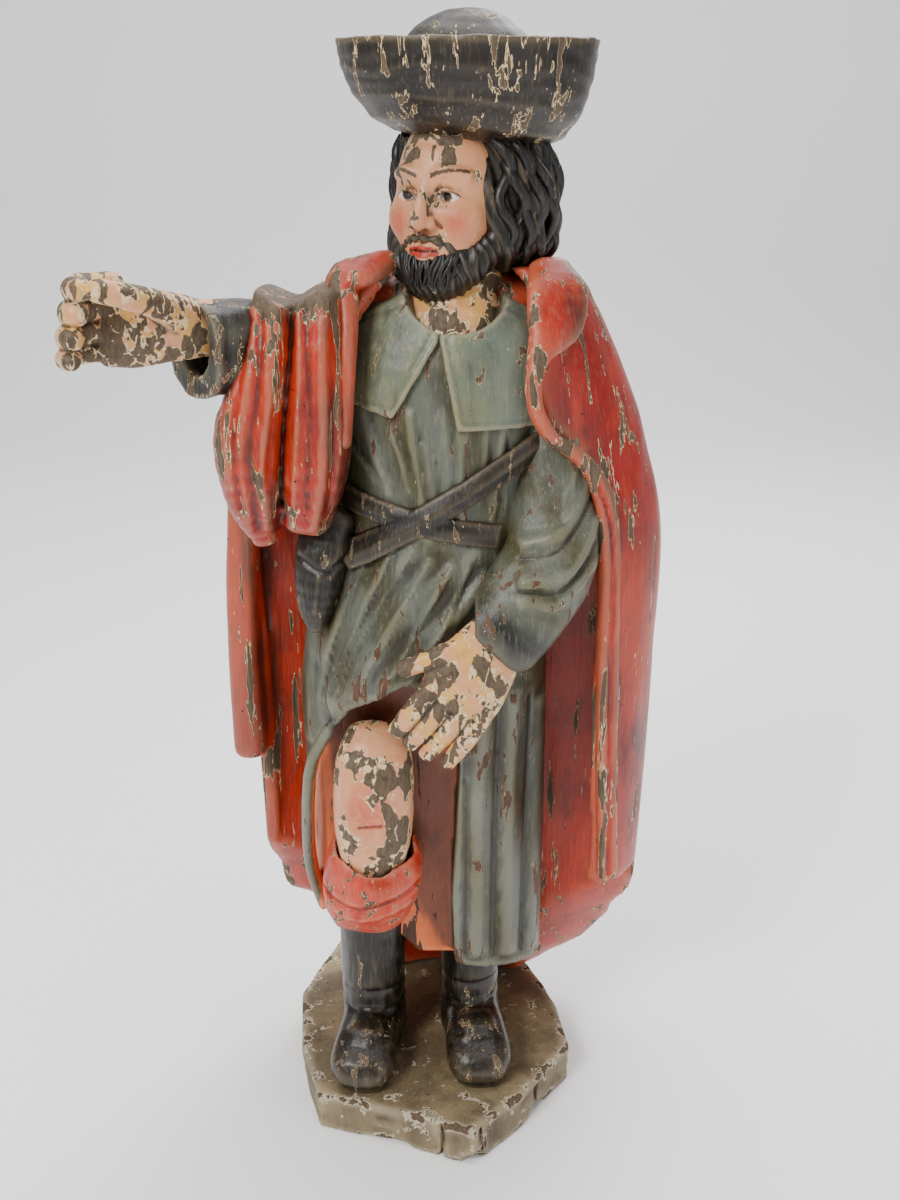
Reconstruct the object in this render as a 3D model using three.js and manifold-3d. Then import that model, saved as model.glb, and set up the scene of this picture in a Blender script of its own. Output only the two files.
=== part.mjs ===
// A carved and painted wooden saint, about one metre tall, standing on a thick wooden base.
// Millimetres, +Z up. The figure looks towards -Y, and +X is on the viewer's right.
// The origin lies on the underside of the base, plumb below the figure's neck.
import * as THREE from "three";
import { mergeVertices } from "three/addons/utils/BufferGeometryUtils.js";
import Module from "manifold-3d";

const wasm = await Module();
wasm.setup();

// Driving dimensions.
const HEIGHT = 1000; // underside of the base to the top of the hat's crown
const BASE_THICK = 40;
const JOINT_GAP = 0.4; // play left between two pieces that touch
const CLOAK_WALL = 15; // thickness of the carved cloak at its wings and hem
const COLLAR_RAISED = 6; // how far the flat collar stands off the tunic
const STRAP_RAISED = 7;
const STRAP_WIDE = 22;
const BELT_WIDE = 20;
const NICHE_BACK_Y = -58; // back wall of the opening in the skirt
const HEAD_YAW = -28; // degrees, the head turns to the viewer's left
const STAFF_GRIP = 22; // width of the empty upright channel in the right hand

const GROUND = BASE_THICK + JOINT_GAP; // where soles and cloak stand on the base
const TURN = Math.PI * 2;
const rad = THREE.MathUtils.degToRad;

const step = (x, from, to) => THREE.MathUtils.smoothstep(x, from, to);

// Rows of [place, values...] become a function of the place: smooth, or straight between rows.
function profile(rows, Interpolant = THREE.CubicInterpolant) {
  const places = rows.map((row) => row[0]);
  const values = rows.flatMap((row) => row.slice(1));
  const curve = new Interpolant(places, values, rows[0].length - 1);
  const last = places[places.length - 1];
  return (place) => [...curve.evaluate(THREE.MathUtils.clamp(place, places[0], last))];
}
const straight = (rows) => profile(rows, THREE.LinearInterpolant);

// Solids.
function solidOf(geometry) {
  const bare = geometry.index ? geometry.toNonIndexed() : geometry.clone();
  const points = new THREE.BufferGeometry();
  points.setAttribute("position", bare.getAttribute("position"));
  const merged = mergeVertices(points, 1e-3);
  const solid = new wasm.Manifold(
    new wasm.Mesh({
      numProp: 3,
      vertProperties: merged.attributes.position.array,
      triVerts: new Uint32Array(merged.index.array),
    }),
  );
  if (solid.volume() > 0) return solid;
  const flipped = new Uint32Array(merged.index.array);
  for (let i = 0; i < flipped.length; i += 3) {
    [flipped[i + 1], flipped[i + 2]] = [flipped[i + 2], flipped[i + 1]];
  }
  return new wasm.Manifold(
    new wasm.Mesh({
      numProp: 3,
      vertProperties: merged.attributes.position.array,
      triVerts: flipped,
    }),
  );
}

function geometryOf(solid) {
  const mesh = solid.getMesh();
  const positions = new Float32Array(mesh.numVert * 3);
  for (let i = 0; i < mesh.numVert; i++) {
    positions.set(mesh.vertProperties.subarray(i * mesh.numProp, i * mesh.numProp + 3), i * 3);
  }
  const geometry = new THREE.BufferGeometry();
  geometry.setAttribute("position", new THREE.BufferAttribute(positions, 3));
  geometry.setIndex(new THREE.BufferAttribute(new Uint32Array(mesh.triVerts), 1));
  geometry.computeVertexNormals();
  return geometry;
}

const joined = (...solids) => solids.reduce((whole, solid) => whole.add(solid));

// Cuts leave slivers along their seams, and this clears the ones too thin to see.
const SLIVER = 0.05;
const cleaned = (solid) => solid.asOriginal().simplify(SLIVER);

// A closed skin over a stack of rings that all have the same number of points.
function skin(rings) {
  const around = rings[0].length;
  const positions = rings.flat().flatMap((p) => [p.x, p.y, p.z]);
  const centres = [rings[0], rings[rings.length - 1]].map((ring) =>
    ring.reduce((sum, p) => sum.add(p), new THREE.Vector3()).divideScalar(around),
  );
  centres.forEach((c) => positions.push(c.x, c.y, c.z));
  const low = rings.length * around;
  const high = low + 1;
  const index = [];
  for (let k = 0; k < around; k++) {
    const next = (k + 1) % around;
    for (let i = 0; i + 1 < rings.length; i++) {
      const [a, b] = [i * around + k, i * around + next];
      index.push(a, b, b + around, a, b + around, a + around);
    }
    const top = (rings.length - 1) * around;
    index.push(low, next, k, high, top + k, top + next);
  }
  const geometry = new THREE.BufferGeometry();
  geometry.setAttribute("position", new THREE.Float32BufferAttribute(positions, 3));
  geometry.setIndex(index);
  return solidOf(geometry);
}

// A column of level sections between two heights. point(angle, z) gives [x, y].
function column(from, to, levels, around, point) {
  const rings = [];
  for (let i = 0; i <= levels; i++) {
    const z = from + ((to - from) * i) / levels;
    const ring = [];
    for (let k = 0; k < around; k++) {
      const [x, y] = point((TURN * k) / around, z);
      ring.push(new THREE.Vector3(x, y, z));
    }
    rings.push(ring);
  }
  return skin(rings);
}

// A limb along a smooth path. Stations are [x, y, z, half width, half thickness], and the wide
// side lies along `across`. `blunt` above 2 squares the section, and `round` domes both ends.
function limb(stations, { across = [0, 0, 1], around = 10, steps = 6, round = true, blunt = 2 } = {}) {
  const path = new THREE.CatmullRomCurve3(stations.map((s) => new THREE.Vector3(s[0], s[1], s[2])));
  const size = profile(stations.map((s, i) => [i / (stations.length - 1), s[3], s[4] ?? s[3]]));
  const ends = round ? [0.48] : [];
  const marks = [];
  ends.forEach((e) => marks.push([0, Math.sin((e * Math.PI) / 2)]));
  for (let i = 0; i <= steps; i++) marks.push([i / steps, 1]);
  [...ends].reverse().forEach((e) => marks.push([1, Math.sin((e * Math.PI) / 2)]));
  const square = (v) => Math.sign(v) * Math.abs(v) ** (2 / blunt);
  const rings = marks.map(([t, scale]) => {
    const tangent = path.getTangent(t);
    const wide = new THREE.Vector3(...across).projectOnPlane(tangent).normalize();
    const thick = new THREE.Vector3().crossVectors(tangent, wide);
    const [a, b] = size(t);
    const cap = Math.sqrt(1 - scale * scale) * Math.min(a, b);
    const centre = path.getPoint(t).addScaledVector(tangent, t === 0 ? -cap : t === 1 ? cap : 0);
    return Array.from({ length: around }, (_, k) => {
      const angle = (TURN * k) / around;
      return centre
        .clone()
        .addScaledVector(wide, square(Math.cos(angle)) * a * scale)
        .addScaledVector(thick, square(Math.sin(angle)) * b * scale);
    });
  });
  return skin(rings);
}

// A ball stretched to three half sizes and turned about Z.
function ovoid([x, y, z], [a, b, c], yaw = 0, around = 12, high = 8) {
  const geometry = new THREE.SphereGeometry(1, around, high);
  geometry.rotateX(Math.PI / 2).scale(a, b, c).rotateZ(rad(yaw)).translate(x, y, z);
  return solidOf(geometry);
}

// An outline in the front view, [x, z] points, sawn through from y = near to y = far.
function sawn(outline, near, far) {
  const shape = new THREE.Shape(outline.map(([x, z]) => new THREE.Vector2(x, z)));
  const geometry = new THREE.ExtrudeGeometry(shape, { depth: far - near, bevelEnabled: false });
  geometry.rotateX(Math.PI / 2).translate(0, far, 0);
  return solidOf(geometry);
}

// A straight band in the front view, from one [x, z] point to another.
function band([x0, z0], [x1, z1], wide) {
  const along = new THREE.Vector2(x1 - x0, z1 - z0).normalize();
  const [sx, sz] = [(-along.y * wide) / 2, (along.x * wide) / 2];
  return [
    [x0 + sx, z0 + sz],
    [x0 - sx, z0 - sz],
    [x1 - sx, z1 - sz],
    [x1 + sx, z1 + sz],
  ];
}

// Tunic: one column from the hem to the neck. Rows are height, centre x and y, half width, half depth.
const TUNIC_LOW = 110;
const NECK_BASE = 794;
const tunicRows = profile([
  [TUNIC_LOW, -22, -6, 112, 70],
  [220, -23, -8, 114, 80],
  [350, -24, -8, 114, 94],
  [440, -24, -8, 113, 105],
  [500, -19, -6, 109, 104],
  [600, -6, -2, 98, 95],
  [660, 0, -1, 102, 93],
  [710, 2, -1, 104, 88],
  [750, 3, -2, 92, 78],
  [776, 2, -4, 68, 62],
  [NECK_BASE, 2, -6, 46, 48],
]);

function tunicPoint(angle, z, raised = 0) {
  const [cx, cy, rx, ry] = tunicRows(z);
  return [cx + (rx + raised) * Math.cos(angle), cy + (ry + raised) * Math.sin(angle)];
}

// Depth of the tunic's front at a place in the front view.
function tunicFront(x, z) {
  const [cx, cy, rx, ry] = tunicRows(z);
  return cy - ry * Math.sqrt(Math.max(0.05, 1 - ((x - cx) / rx) ** 2));
}

// The opening in the skirt shows the lining and the bared leg. [x, z] in the front view.
const NICHE_OUTLINE = [
  [-112, 60],
  [-129, 234],
  [-136, 290],
  [-134, 335],
  [-120, 381],
  [-87, 429],
  [-38, 461],
  [-12, 452],
  [9, 377],
  [5, 289],
  [2, 231],
  [8, 60],
];
// What the hem is cut back to, seen from the front.
const TUNIC_HEM = [
  [-160, 216],
  [-127, 204],
  [-112, 186],
  [-49, 172],
  [-30, 152],
  [8, 152],
  [20, 146],
  [90, 127],
  [140, 124],
  [140, 0],
  [-160, 0],
];

function tunic() {
  return column(TUNIC_LOW, NECK_BASE, 11, 26, tunicPoint)
    .subtract(sawn(NICHE_OUTLINE, -200, NICHE_BACK_Y))
    .subtract(sawn(TUNIC_HEM, -200, 200));
}

// Carved folds: rounded ridges laid along the tunic's front through [x, z] points.
const FOLD_SUNK = 4; // how far the middle line of a fold lies under the surface
const FOLDS = [
  [[48, 560], [0, 520], [-70, 450], 9],
  [[20, 574], [-40, 520], [-104, 430], 9],
  [[-20, 590], [-72, 540], [-118, 470], 8],
  [[30, 440], [26, 300], [26, 165], 9],
  [[58, 440], [56, 300], [56, 158], 8],
];

function folds() {
  return FOLDS.map(([a, b, c, half]) =>
    limb(
      [a, b, c].map(([x, z]) => [x, tunicFront(x, z) + FOLD_SUNK, z, half]),
      { across: [1, 0, 0], around: 5, steps: 2 },
    ),
  );
}

// The edge of the lifted skirt, down the left of the bared leg.
function skirtEdge() {
  return limb(
    [
      [-108, -88, 408, 5, 8],
      [-126, -76, 366, 6, 10],
      [-132, -68, 300, 6, 12],
      [-131, -60, 250, 6, 12],
      [-122, -54, 205, 5, 8],
    ],
    { across: [1, 0, 0], around: 7, steps: 6 },
  );
}

// A raised layer on the tunic, kept where the front outline covers it.
function layer(outline, raised, from, to, back = 20) {
  const grown = column(from, to, 2, 26, (angle, z) => tunicPoint(angle, z, raised));
  return grown.intersect(sawn(outline, -200, back));
}

const COLLAR_LEFT = [
  [-30, 786],
  [-96, 760],
  [-90, 698],
  [-47, 687],
  [-9, 751],
  [-6, 770],
];
const COLLAR_RIGHT = [
  [-8, 772],
  [-8, 750],
  [6, 680],
  [84, 680],
  [92, 760],
  [34, 786],
];

function collar() {
  const left = layer(COLLAR_LEFT, COLLAR_RAISED, 670, 786);
  const right = layer(COLLAR_RIGHT, COLLAR_RAISED + 1, 670, 786);
  const rimmed = ovoid([2, -10, 778], [62, 60, 11], 0, 14, 4);
  return joined(left, right, rimmed);
}

function strapAndBelt() {
  const strap = layer(band([104, 682], [-92, 564], STRAP_WIDE), STRAP_RAISED + 3, 545, 700);
  const belt = layer(band([-108, 619], [42, 588], BELT_WIDE), STRAP_RAISED, 570, 640);
  const pouch = limb(
    [
      [-104, -62, 592, 23, 16],
      [-110, -66, 560, 23, 20],
      [-115, -70, 526, 17, 16],
      [-116, -72, 504, 9, 9],
    ],
    { across: [1, -0.4, 0], around: 9, steps: 4, blunt: 2.6 },
  );
  return joined(strap, belt, pouch);
}

// Cloak: a backcloth behind the figure with a round back and a shallow hollow front.
// Rows are height, centre x and y, half width, half depth of the outer face.
const CLOAK_TOP = 804;
const HOLLOW_Y = -8; // middle of the shallow inner face
const HOLLOW_DEPTH = 28;
const HEEL_HOLLOW = 62; // how much deeper it is behind the boots
const cloakRows = profile([
  [GROUND, 0, 4, 178, 102],
  [120, 1, 3, 182, 105],
  [211, 1, 2, 183, 107],
  [313, 2, 0, 185, 107],
  [450, 2, 0, 187, 106],
  [594, 1, 0, 186, 104],
  [640, 1, 0, 174, 100],
  [685, 4, 0, 158, 97],
  [733, 5, 0, 137, 90],
  [770, 6, -2, 118, 79],
  [795, 7, -4, 98, 64],
  [CLOAK_TOP, 7, -6, 78, 52],
]);
// Angles of the two front edges. The right one swings forward over the arm and then down.
const cloakEdges = straight([
  [GROUND, -2, 182],
  [225, -3, 184],
  [232, -39, 184],
  [450, -43, 186],
  [594, -44, 190],
  [631, -46, 196],
  [655, -52, 200],
  [679, -61, 206],
  [725, -64, 214],
  [744, -60, 220],
  [CLOAK_TOP, -50, 230],
]);
// Height of the hem at angles round the cloak, from the right edge over the back to the left edge.
const cloakHem = straight([
  [-3, 206],
  [8, 172],
  [26, 124],
  [40, 80],
  [54, 48],
  [66, GROUND],
  [112, GROUND],
  [137, 128],
  [155, 158],
  [168, 206],
  [184, 246],
]);
const CLOAK_LEVELS = [0, 0.1, 0.235, 0.255, 0.4, 0.57, 0.73, 0.79, 0.84, 0.9, 0.95, 1];

function cloakFold(angle, z) {
  const back = step(Math.sin(angle), -0.2, 0.5) * step(z, 780, 600);
  return back * (Math.cos(angle * 9 + 0.6) * 5 + Math.cos(angle * 17 - z / 130) * 2);
}

function cloakRing(level, half) {
  const nominal = GROUND + (CLOAK_TOP - GROUND) * level;
  const [cx, cy, rx, ry] = cloakRows(nominal);
  const [from, to] = cloakEdges(nominal).map(rad);
  const outer = [];
  const inner = [];
  for (let k = 0; k < half; k++) {
    const angle = from + ((to - from) * k) / (half - 1);
    const [sin, cos] = [Math.sin(angle), Math.cos(angle)];
    const [hem] = cloakHem(THREE.MathUtils.radToDeg(angle));
    const z = Math.max(nominal, hem);
    const swell = cloakFold(angle, z);
    const heel = HEEL_HOLLOW * step(sin, 0.8, 1) * step(z, 200, 120);
    const wall = ry - CLOAK_WALL;
    const innerY = sin > 0 ? HOLLOW_Y * step(sin, 0, 0.2) + HOLLOW_DEPTH * sin + heel : cy + wall * sin;
    outer.push(new THREE.Vector3(cx + (rx + swell) * cos, cy + (ry + swell) * sin, z));
    inner.unshift(new THREE.Vector3(cx + (rx - CLOAK_WALL) * cos, innerY, z));
  }
  return [...outer, ...inner];
}

function cloakShell() {
  const half = 15;
  return hollowSkin(
    CLOAK_LEVELS.map((level) => cloakRing(level, half)),
    half,
  );
}

// As skin(), for C-shaped rings: both ends are closed by a strip between the faces of the wall.
function hollowSkin(rings, half) {
  const around = rings[0].length;
  const positions = rings.flat().flatMap((p) => [p.x, p.y, p.z]);
  const index = [];
  for (let i = 0; i + 1 < rings.length; i++) {
    for (let k = 0; k < around; k++) {
      const [a, b] = [i * around + k, i * around + ((k + 1) % around)];
      index.push(a, b, b + around, a, b + around, a + around);
    }
  }
  const top = (rings.length - 1) * around;
  for (let k = 0; k + 1 < half; k++) {
    const [o0, o1, i0, i1] = [k, k + 1, around - 1 - k, around - 2 - k];
    index.push(o0, i0, o1, o1, i0, i1);
    index.push(top + o0, top + o1, top + i0, top + o1, top + i1, top + i0);
  }
  const geometry = new THREE.BufferGeometry();
  geometry.setAttribute("position", new THREE.Float32BufferAttribute(positions, 3));
  geometry.setIndex(index);
  return solidOf(geometry);
}

function cloak() {
  const nape = ovoid([6, 7, 773.6], [98, 60, 29], 5, 14, 6);
  return joined(cloakShell(), nape);
}

// The right edge of the cloak: a turned-back lobe by the neck, then a rim that swings out over the
// arm and hangs down as a border.
function rightEdge() {
  return limb(
    [
      [82, -40, 802, 19, 9],
      [87, -56, 786, 26, 10],
      [84, -70, 762, 24, 9],
      [73, -82, 742, 11, 9],
      [67, -90, 722, 7, 9],
      [69, -92, 698, 6, 9],
      [82, -88, 674, 6, 9],
      [106, -80, 655, 7, 9],
      [126, -74, 626, 9, 9],
      [135, -72, 580, 10, 9],
      [140, -70, 440, 10, 9],
      [148, -66, 250, 10, 9],
    ],
    { across: [1, 0.4, 0], around: 6, steps: 16 },
  );
}

// The left edge by the neck: a small turned-back flap over a narrow strip.
function leftEdge() {
  return limb(
    [
      [-52, -38, 808, 12, 9],
      [-70, -52, 802, 18, 10],
      [-86, -60, 794, 15, 10],
      [-82, -76, 768, 9, 9],
      [-83, -88, 730, 8, 9],
      [-88, -94, 672, 8, 9],
    ],
    { across: [1, -0.2, 0], around: 7, steps: 8 },
  );
}

// The outer panel of the left wing hangs from under the drape.
function leftPanel() {
  return limb(
    [
      [-182, -14, 620, 14, 16],
      [-188, -14, 540, 14, 18],
      [-191, -14, 450, 14, 18],
      [-190, -14, 360, 15, 16],
    ],
    { across: [1, 0, 0], around: 8, steps: 3, blunt: 3 },
  );
}

// The cloak's drape over the raised right arm: two broad folds side by side.
function drape() {
  const outerFold = limb(
    [
      [-137, -60, 784, 19, 36],
      [-142, -68, 756, 20, 46],
      [-150, -74, 717, 24, 50],
      [-162, -74, 676, 30, 50],
      [-162, -72, 642, 28, 46],
      [-161, -72, 616, 21, 38],
      [-157, -74, 588, 11, 20],
    ],
    { across: [1, 0, 0], around: 10, steps: 6, blunt: 3 },
  );
  const innerFold = limb(
    [
      [-104, -48, 788, 19, 36],
      [-106, -60, 756, 21, 46],
      [-108, -66, 717, 24, 48],
      [-110, -68, 676, 28, 46],
      [-114, -70, 642, 28, 42],
      [-119, -74, 608, 21, 28],
    ],
    { across: [1, 0, 0], around: 10, steps: 5, blunt: 3 },
  );
  return joined(outerFold, innerFold);
}

// Left arm, in its sleeve, from the shoulder to the wide cuff above the thigh.
function leftSleeve() {
  return limb(
    [
      [90, -32, 738, 30, 26],
      [86, -46, 676, 32, 31],
      [86, -58, 616, 38, 36],
      [84, -76, 566, 42, 40],
      [64, -98, 534, 41, 34],
      [43, -114, 509, 38, 26],
    ],
    { across: [1, 0.1, -0.35], around: 12, steps: 7, round: false },
  );
}

// Head, hair and beard. Places are given in the head's own frame: x to its left, -y out of the
// face, z up from the chin, and then turned by HEAD_YAW about the neck.
const HEAD_AT = [6, -16, 788];
const UP = new THREE.Vector3(0, 0, 1);
const inHead = (x, y, z) => {
  const p = new THREE.Vector3(x, y, z).applyAxisAngle(UP, rad(HEAD_YAW));
  return [p.x + HEAD_AT[0], p.y + HEAD_AT[1], p.z + HEAD_AT[2]];
};
const headLimb = (rows, { across = [1, 0, 0], ...options } = {}) =>
  limb(
    rows.map(([x, y, z, ...sizes]) => [...inHead(x, y, z), ...sizes]),
    { ...options, across: inHead(...across).map((v, i) => v - HEAD_AT[i]) },
  );

function head() {
  const skull = ovoid(inHead(0, -2, 74), [46, 56, 66], HEAD_YAW, 14, 8);
  const jaw = ovoid(inHead(0, -20, 34), [37, 38, 36], HEAD_YAW, 12, 6);
  const neck = limb(
    [
      [...inHead(0, 12, -40), 42, 40],
      [...inHead(0, 8, 20), 40, 38],
    ],
    { across: [1, 0, 0], around: 12, steps: 1, round: false },
  );
  const nose = headLimb(
    [
      [0, -52, 88, 6, 6],
      [0, -60, 66, 8, 8],
      [0, -65, 51, 10, 8],
    ],
    { around: 6, steps: 2 },
  );
  return joined(skull, jaw, neck, nose);
}

function beard() {
  const chin = ovoid(inHead(0, -32, 13), [32, 30, 28], HEAD_YAW, 10, 6);
  const whiskers = [-1, 1].map((side) =>
    headLimb(
      [
        [side * 43, -6, 66, 8, 8],
        [side * 42, -18, 38, 12, 12],
        [side * 28, -34, 18, 16, 14],
      ],
      { around: 5, steps: 2 },
    ),
  );
  const lip = headLimb(
    [
      [-24, -46, 33, 5, 6],
      [-9, -57, 41, 5, 6],
      [9, -57, 41, 5, 6],
      [24, -46, 33, 5, 6],
    ],
    { across: [0, 0, 1], around: 5, steps: 3 },
  );
  return joined(chin, ...whiskers, lip);
}

// Hair: one mass behind the face, grooved into locks. Rows as for the tunic, in the head's frame.
const LOCKS = 10;
const LOCK_DEPTH = 4.5;
const hairRows = profile([
  [10, 10, 24, 40, 30],
  [24, 9, 20, 58, 46],
  [50, 8, 18, 66, 52],
  [80, 8, 18, 66, 52],
  [104, 6, 16, 60, 50],
  [122, 4, 14, 52, 46],
]);

function hair() {
  return column(HEAD_AT[2] + 10, HEAD_AT[2] + 122, 5, 28, (angle, z) => {
    const [cx, cy, rx, ry] = hairRows(z - HEAD_AT[2]);
    const groove = LOCK_DEPTH * Math.cos(angle * LOCKS + (z - HEAD_AT[2]) / 16);
    const [x, y] = inHead(cx + (rx + groove) * Math.cos(angle), cy + (ry + groove) * Math.sin(angle), 0);
    return [x, y];
  });
}

// Bared right leg, rolled stocking and boots.
function bareLeg() {
  return limb(
    [
      [-66, -86, 396, 28, 18],
      [-68, -92, 372, 35, 30],
      [-69, -94, 330, 36, 32],
      [-70, -90, 290, 33, 29],
      [-72, -84, 240, 27, 27],
    ],
    { across: [1, 0, 0], around: 11, steps: 5, blunt: 2.5 },
  );
}

function stocking() {
  return limb(
    [
      [-70, -78, 284, 38, 32],
      [-71, -82, 262, 45, 40],
      [-76, -84, 240, 42, 38],
      [-80, -78, 222, 33, 30],
    ],
    { across: [1, 0, 0], around: 9, steps: 4 },
  );
}

const BELOW_SOLE = [
  [-300, -100],
  [300, -100],
  [300, GROUND],
  [-300, GROUND],
];

function boot([x, y], [toeX, toeY], top, thick) {
  const shaft = limb(
    [
      [x, y, top, thick, thick],
      [x, y, 130, thick * 0.95, thick * 0.95],
      [x, y + 2, 84, thick * 0.94, thick],
      [x, y + 2, GROUND - 10, thick * 0.95, thick * 1.05],
    ],
    { across: [1, 0, 0], around: 10, steps: 3, round: false },
  );
  const [ax, ay] = [toeX - x, toeY - y];
  const foot = limb(
    [
      [x, y + 6, 62, 27, 26],
      [x + ax * 0.4, y + ay * 0.4, 68, 29, 28],
      [x + ax * 0.7, y + ay * 0.7, 62, 31, 22],
      [x + ax * 0.8, y + ay * 0.8, 58, 27, 19],
    ],
    { across: [1, 0, 0], around: 10, steps: 4, blunt: 2.4 },
  );
  return joined(shaft, foot).subtract(sawn(BELOW_SOLE, -300, 300));
}

function boots() {
  return joined(boot([-76, -44], [-88, -132], 236, 33), boot([20, -34], [32, -126], 190, 30));
}

function figure() {
  return joined(
    cloak(),
    tunic(),
    ...folds(),
    skirtEdge(),
    drape(),
    rightEdge(),
    leftEdge(),
    leftPanel(),
    collar(),
    strapAndBelt(),
    leftSleeve(),
    head(),
    beard(),
    hair(),
    bareLeg(),
    stocking(),
    boots(),
  );
}

// Hat: a round crown inside a brim that turns up all round like a bowl. [radius, height].
const HAT_AT = [14, -4];
const BRIM_LOW = 902;
const BRIM_HIGH = 976;
const CROWN_RADIUS = 61;
const CROWN_FOOT = 946;
const HAT_LEAN = 0.12; // how far the underside tips down to the right
const BRIM_OUTER = [
  [60, BRIM_LOW],
  [78, 911],
  [93, 931],
  [101, 953],
  [105, BRIM_HIGH],
];
const BRIM_INNER = [
  [97, BRIM_HIGH],
  [90, 954],
  [78, 936],
  [CROWN_RADIUS + 4, 930],
  [CROWN_RADIUS, CROWN_FOOT],
];

function hat() {
  const dome = [20, 42, 66].map(rad).map((t) => [
    CROWN_RADIUS * Math.cos(t),
    CROWN_FOOT + (HEIGHT - CROWN_FOOT) * Math.sin(t),
  ]);
  const line = [[0, BRIM_LOW], ...BRIM_OUTER, ...BRIM_INNER, ...dome, [0, HEIGHT]];
  const geometry = new THREE.LatheGeometry(
    line.map(([r, z]) => new THREE.Vector2(r, z)),
    22,
  );
  geometry.rotateX(Math.PI / 2).scale(1, 0.9, 1);
  const places = geometry.attributes.position;
  for (let i = 0; i < places.count; i++) {
    const share = step(places.getZ(i), BRIM_HIGH, BRIM_LOW);
    places.setZ(i, places.getZ(i) - HAT_LEAN * share * places.getX(i));
  }
  geometry.translate(HAT_AT[0], HAT_AT[1], 0);
  return solidOf(geometry);
}

// Right forearm: a sleeve with a wide, square-cut cuff, open where the hand is let in.
const WRIST = [-188, -96, 763];

function rightForearm() {
  const sleeve = limb(
    [
      [-104, -20, 738, 34, 30],
      [-150, -54, 743, 36, 33],
      [-182, -86, 747, 37, 34],
      [-202, -106, 746, 38, 34],
    ],
    { across: [0, 0, 1], around: 14, steps: 5, round: false, blunt: 2.3 },
  );
  const mouth = limb(
    [
      [-180, -84, 758, 29, 23],
      [-236, -140, 762, 29, 23],
    ],
    { across: [0, 0, 1], around: 12, steps: 1, round: false },
  );
  return sleeve.subtract(mouth);
}

// Right hand: the palm faces the front, and the fingers and thumb close round an empty grip.
// Fingers are [x, z, half width].
const PALM_Y = -128;
const PALM_THICK = 12;
const FINGERS_RIGHT = [
  [-270, 801, 9.5],
  [-274, 784, 10],
  [-278, 766, 9.5],
  [-281, 750, 8],
];
const THUMB_THICK = 9;
const THUMB_Y = PALM_Y - PALM_THICK - STAFF_GRIP - THUMB_THICK - 4;

function rightHand() {
  const palm = limb(
    [
      [...WRIST, 22, 15],
      [-212, -114, 765, 25, 14],
      [-238, PALM_Y + 2, 768, 31, 13],
      [-260, PALM_Y, 771, 33, PALM_THICK],
    ],
    { across: [0.1, 0, 1], around: 10, steps: 4 },
  );
  const fingers = FINGERS_RIGHT.map(([x, z, half]) =>
    limb(
      [
        [x + 14, PALM_Y, z, half],
        [x - 3, PALM_Y - 13, z, half],
        [x - 5, PALM_Y - 32, z, half],
        [x + 2, THUMB_Y, z + 1, half * 0.92],
      ],
      { across: [0, 0, 1], around: 6, steps: 3 },
    ),
  );
  const thumb = limb(
    [
      [-204, -116, 775, 16, 12],
      [-217, -140, 786, 12, 11],
      [-232, THUMB_Y + 12, 795, 10, THUMB_THICK],
      [-254, THUMB_Y, 802, THUMB_THICK],
    ],
    { across: [0, 0, 1], around: 7, steps: 4 },
  );
  return joined(palm, thumb, ...fingers);
}

// Left hand, laid over the thigh. Fingers are [root x, root z, tip x, tip z, half width].
function leftHand() {
  const FINGERS = [
    [-16, 470, -44, 434, 9.5],
    [-1, 461, -33, 422, 9],
    [14, 453, -19, 412, 9],
    [28, 445, -1, 404, 8.5],
  ];
  const across = [0.78, 0, -0.62];
  const palm = limb(
    [
      [38, -114, 504, 27, 15],
      [26, -124, 488, 33, 15],
      [12, -132, 468, 36, 14],
      [5, -134, 458, 34, 13],
    ],
    { across, around: 10, steps: 4 },
  );
  const fingers = FINGERS.map(([x0, z0, x1, z1, half]) =>
    limb(
      [
        [x0, -136, z0, half, 9],
        [(x0 + x1) / 2, -141, (z0 + z1) / 2, half, 8],
        [x1, -140, z1, half - 1.5, 7],
      ],
      { across, around: 6, steps: 3, blunt: 2.4 },
    ),
  );
  const thumb = limb(
    [
      [22, -124, 504, 13, 11],
      [-12, -132, 496, 9, 8],
      [-38, -132, 486, 8, 7],
    ],
    { across: [0, 0, 1], around: 6, steps: 4 },
  );
  return joined(palm, thumb, ...fingers);
}

// Base: a hewn slab with uneven sides. [x, y] corners in plan.
const BASE_EDGE = 3; // worn arris
const BASE_OUTLINE = [
  [-157, 30],
  [-149, -50],
  [-126, -126],
  [-44, -152],
  [22, -177],
  [68, -128],
  [119, -56],
  [112, 10],
  [86, 78],
  [38, 132],
  [-60, 146],
  [-124, 124],
];

function base() {
  const shape = new THREE.Shape(BASE_OUTLINE.map(([x, y]) => new THREE.Vector2(x, y)));
  const geometry = new THREE.ExtrudeGeometry(shape, {
    depth: BASE_THICK - 2 * BASE_EDGE,
    bevelThickness: BASE_EDGE,
    bevelSize: BASE_EDGE,
    bevelOffset: -BASE_EDGE,
    bevelSegments: 1,
  });
  geometry.translate(0, 0, BASE_EDGE);
  return solidOf(geometry);
}

// Paints, as flat colours.
const PAINT = {
  cloak: { color: 0xb23a22, roughness: 0.55 },
  sleeve: { color: 0x3a4248, roughness: 0.5 },
  flesh: { color: 0xb39c86, roughness: 0.55 },
  hat: { color: 0x2c2723, roughness: 0.5 },
  base: { color: 0x857a69, roughness: 0.75 },
};

function piece(name, solid, paint) {
  const material = new THREE.MeshStandardMaterial({ ...paint, metalness: 0 });
  const mesh = new THREE.Mesh(geometryOf(solid), material);
  mesh.name = name;
  return mesh;
}

// Each loose piece is let into its neighbour, so the neighbour is cut back by the joint's play.
function loose(solid, ...neighbours) {
  return neighbours.reduce((rest, other) => rest.subtract(swollen(other)), solid);
}

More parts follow.
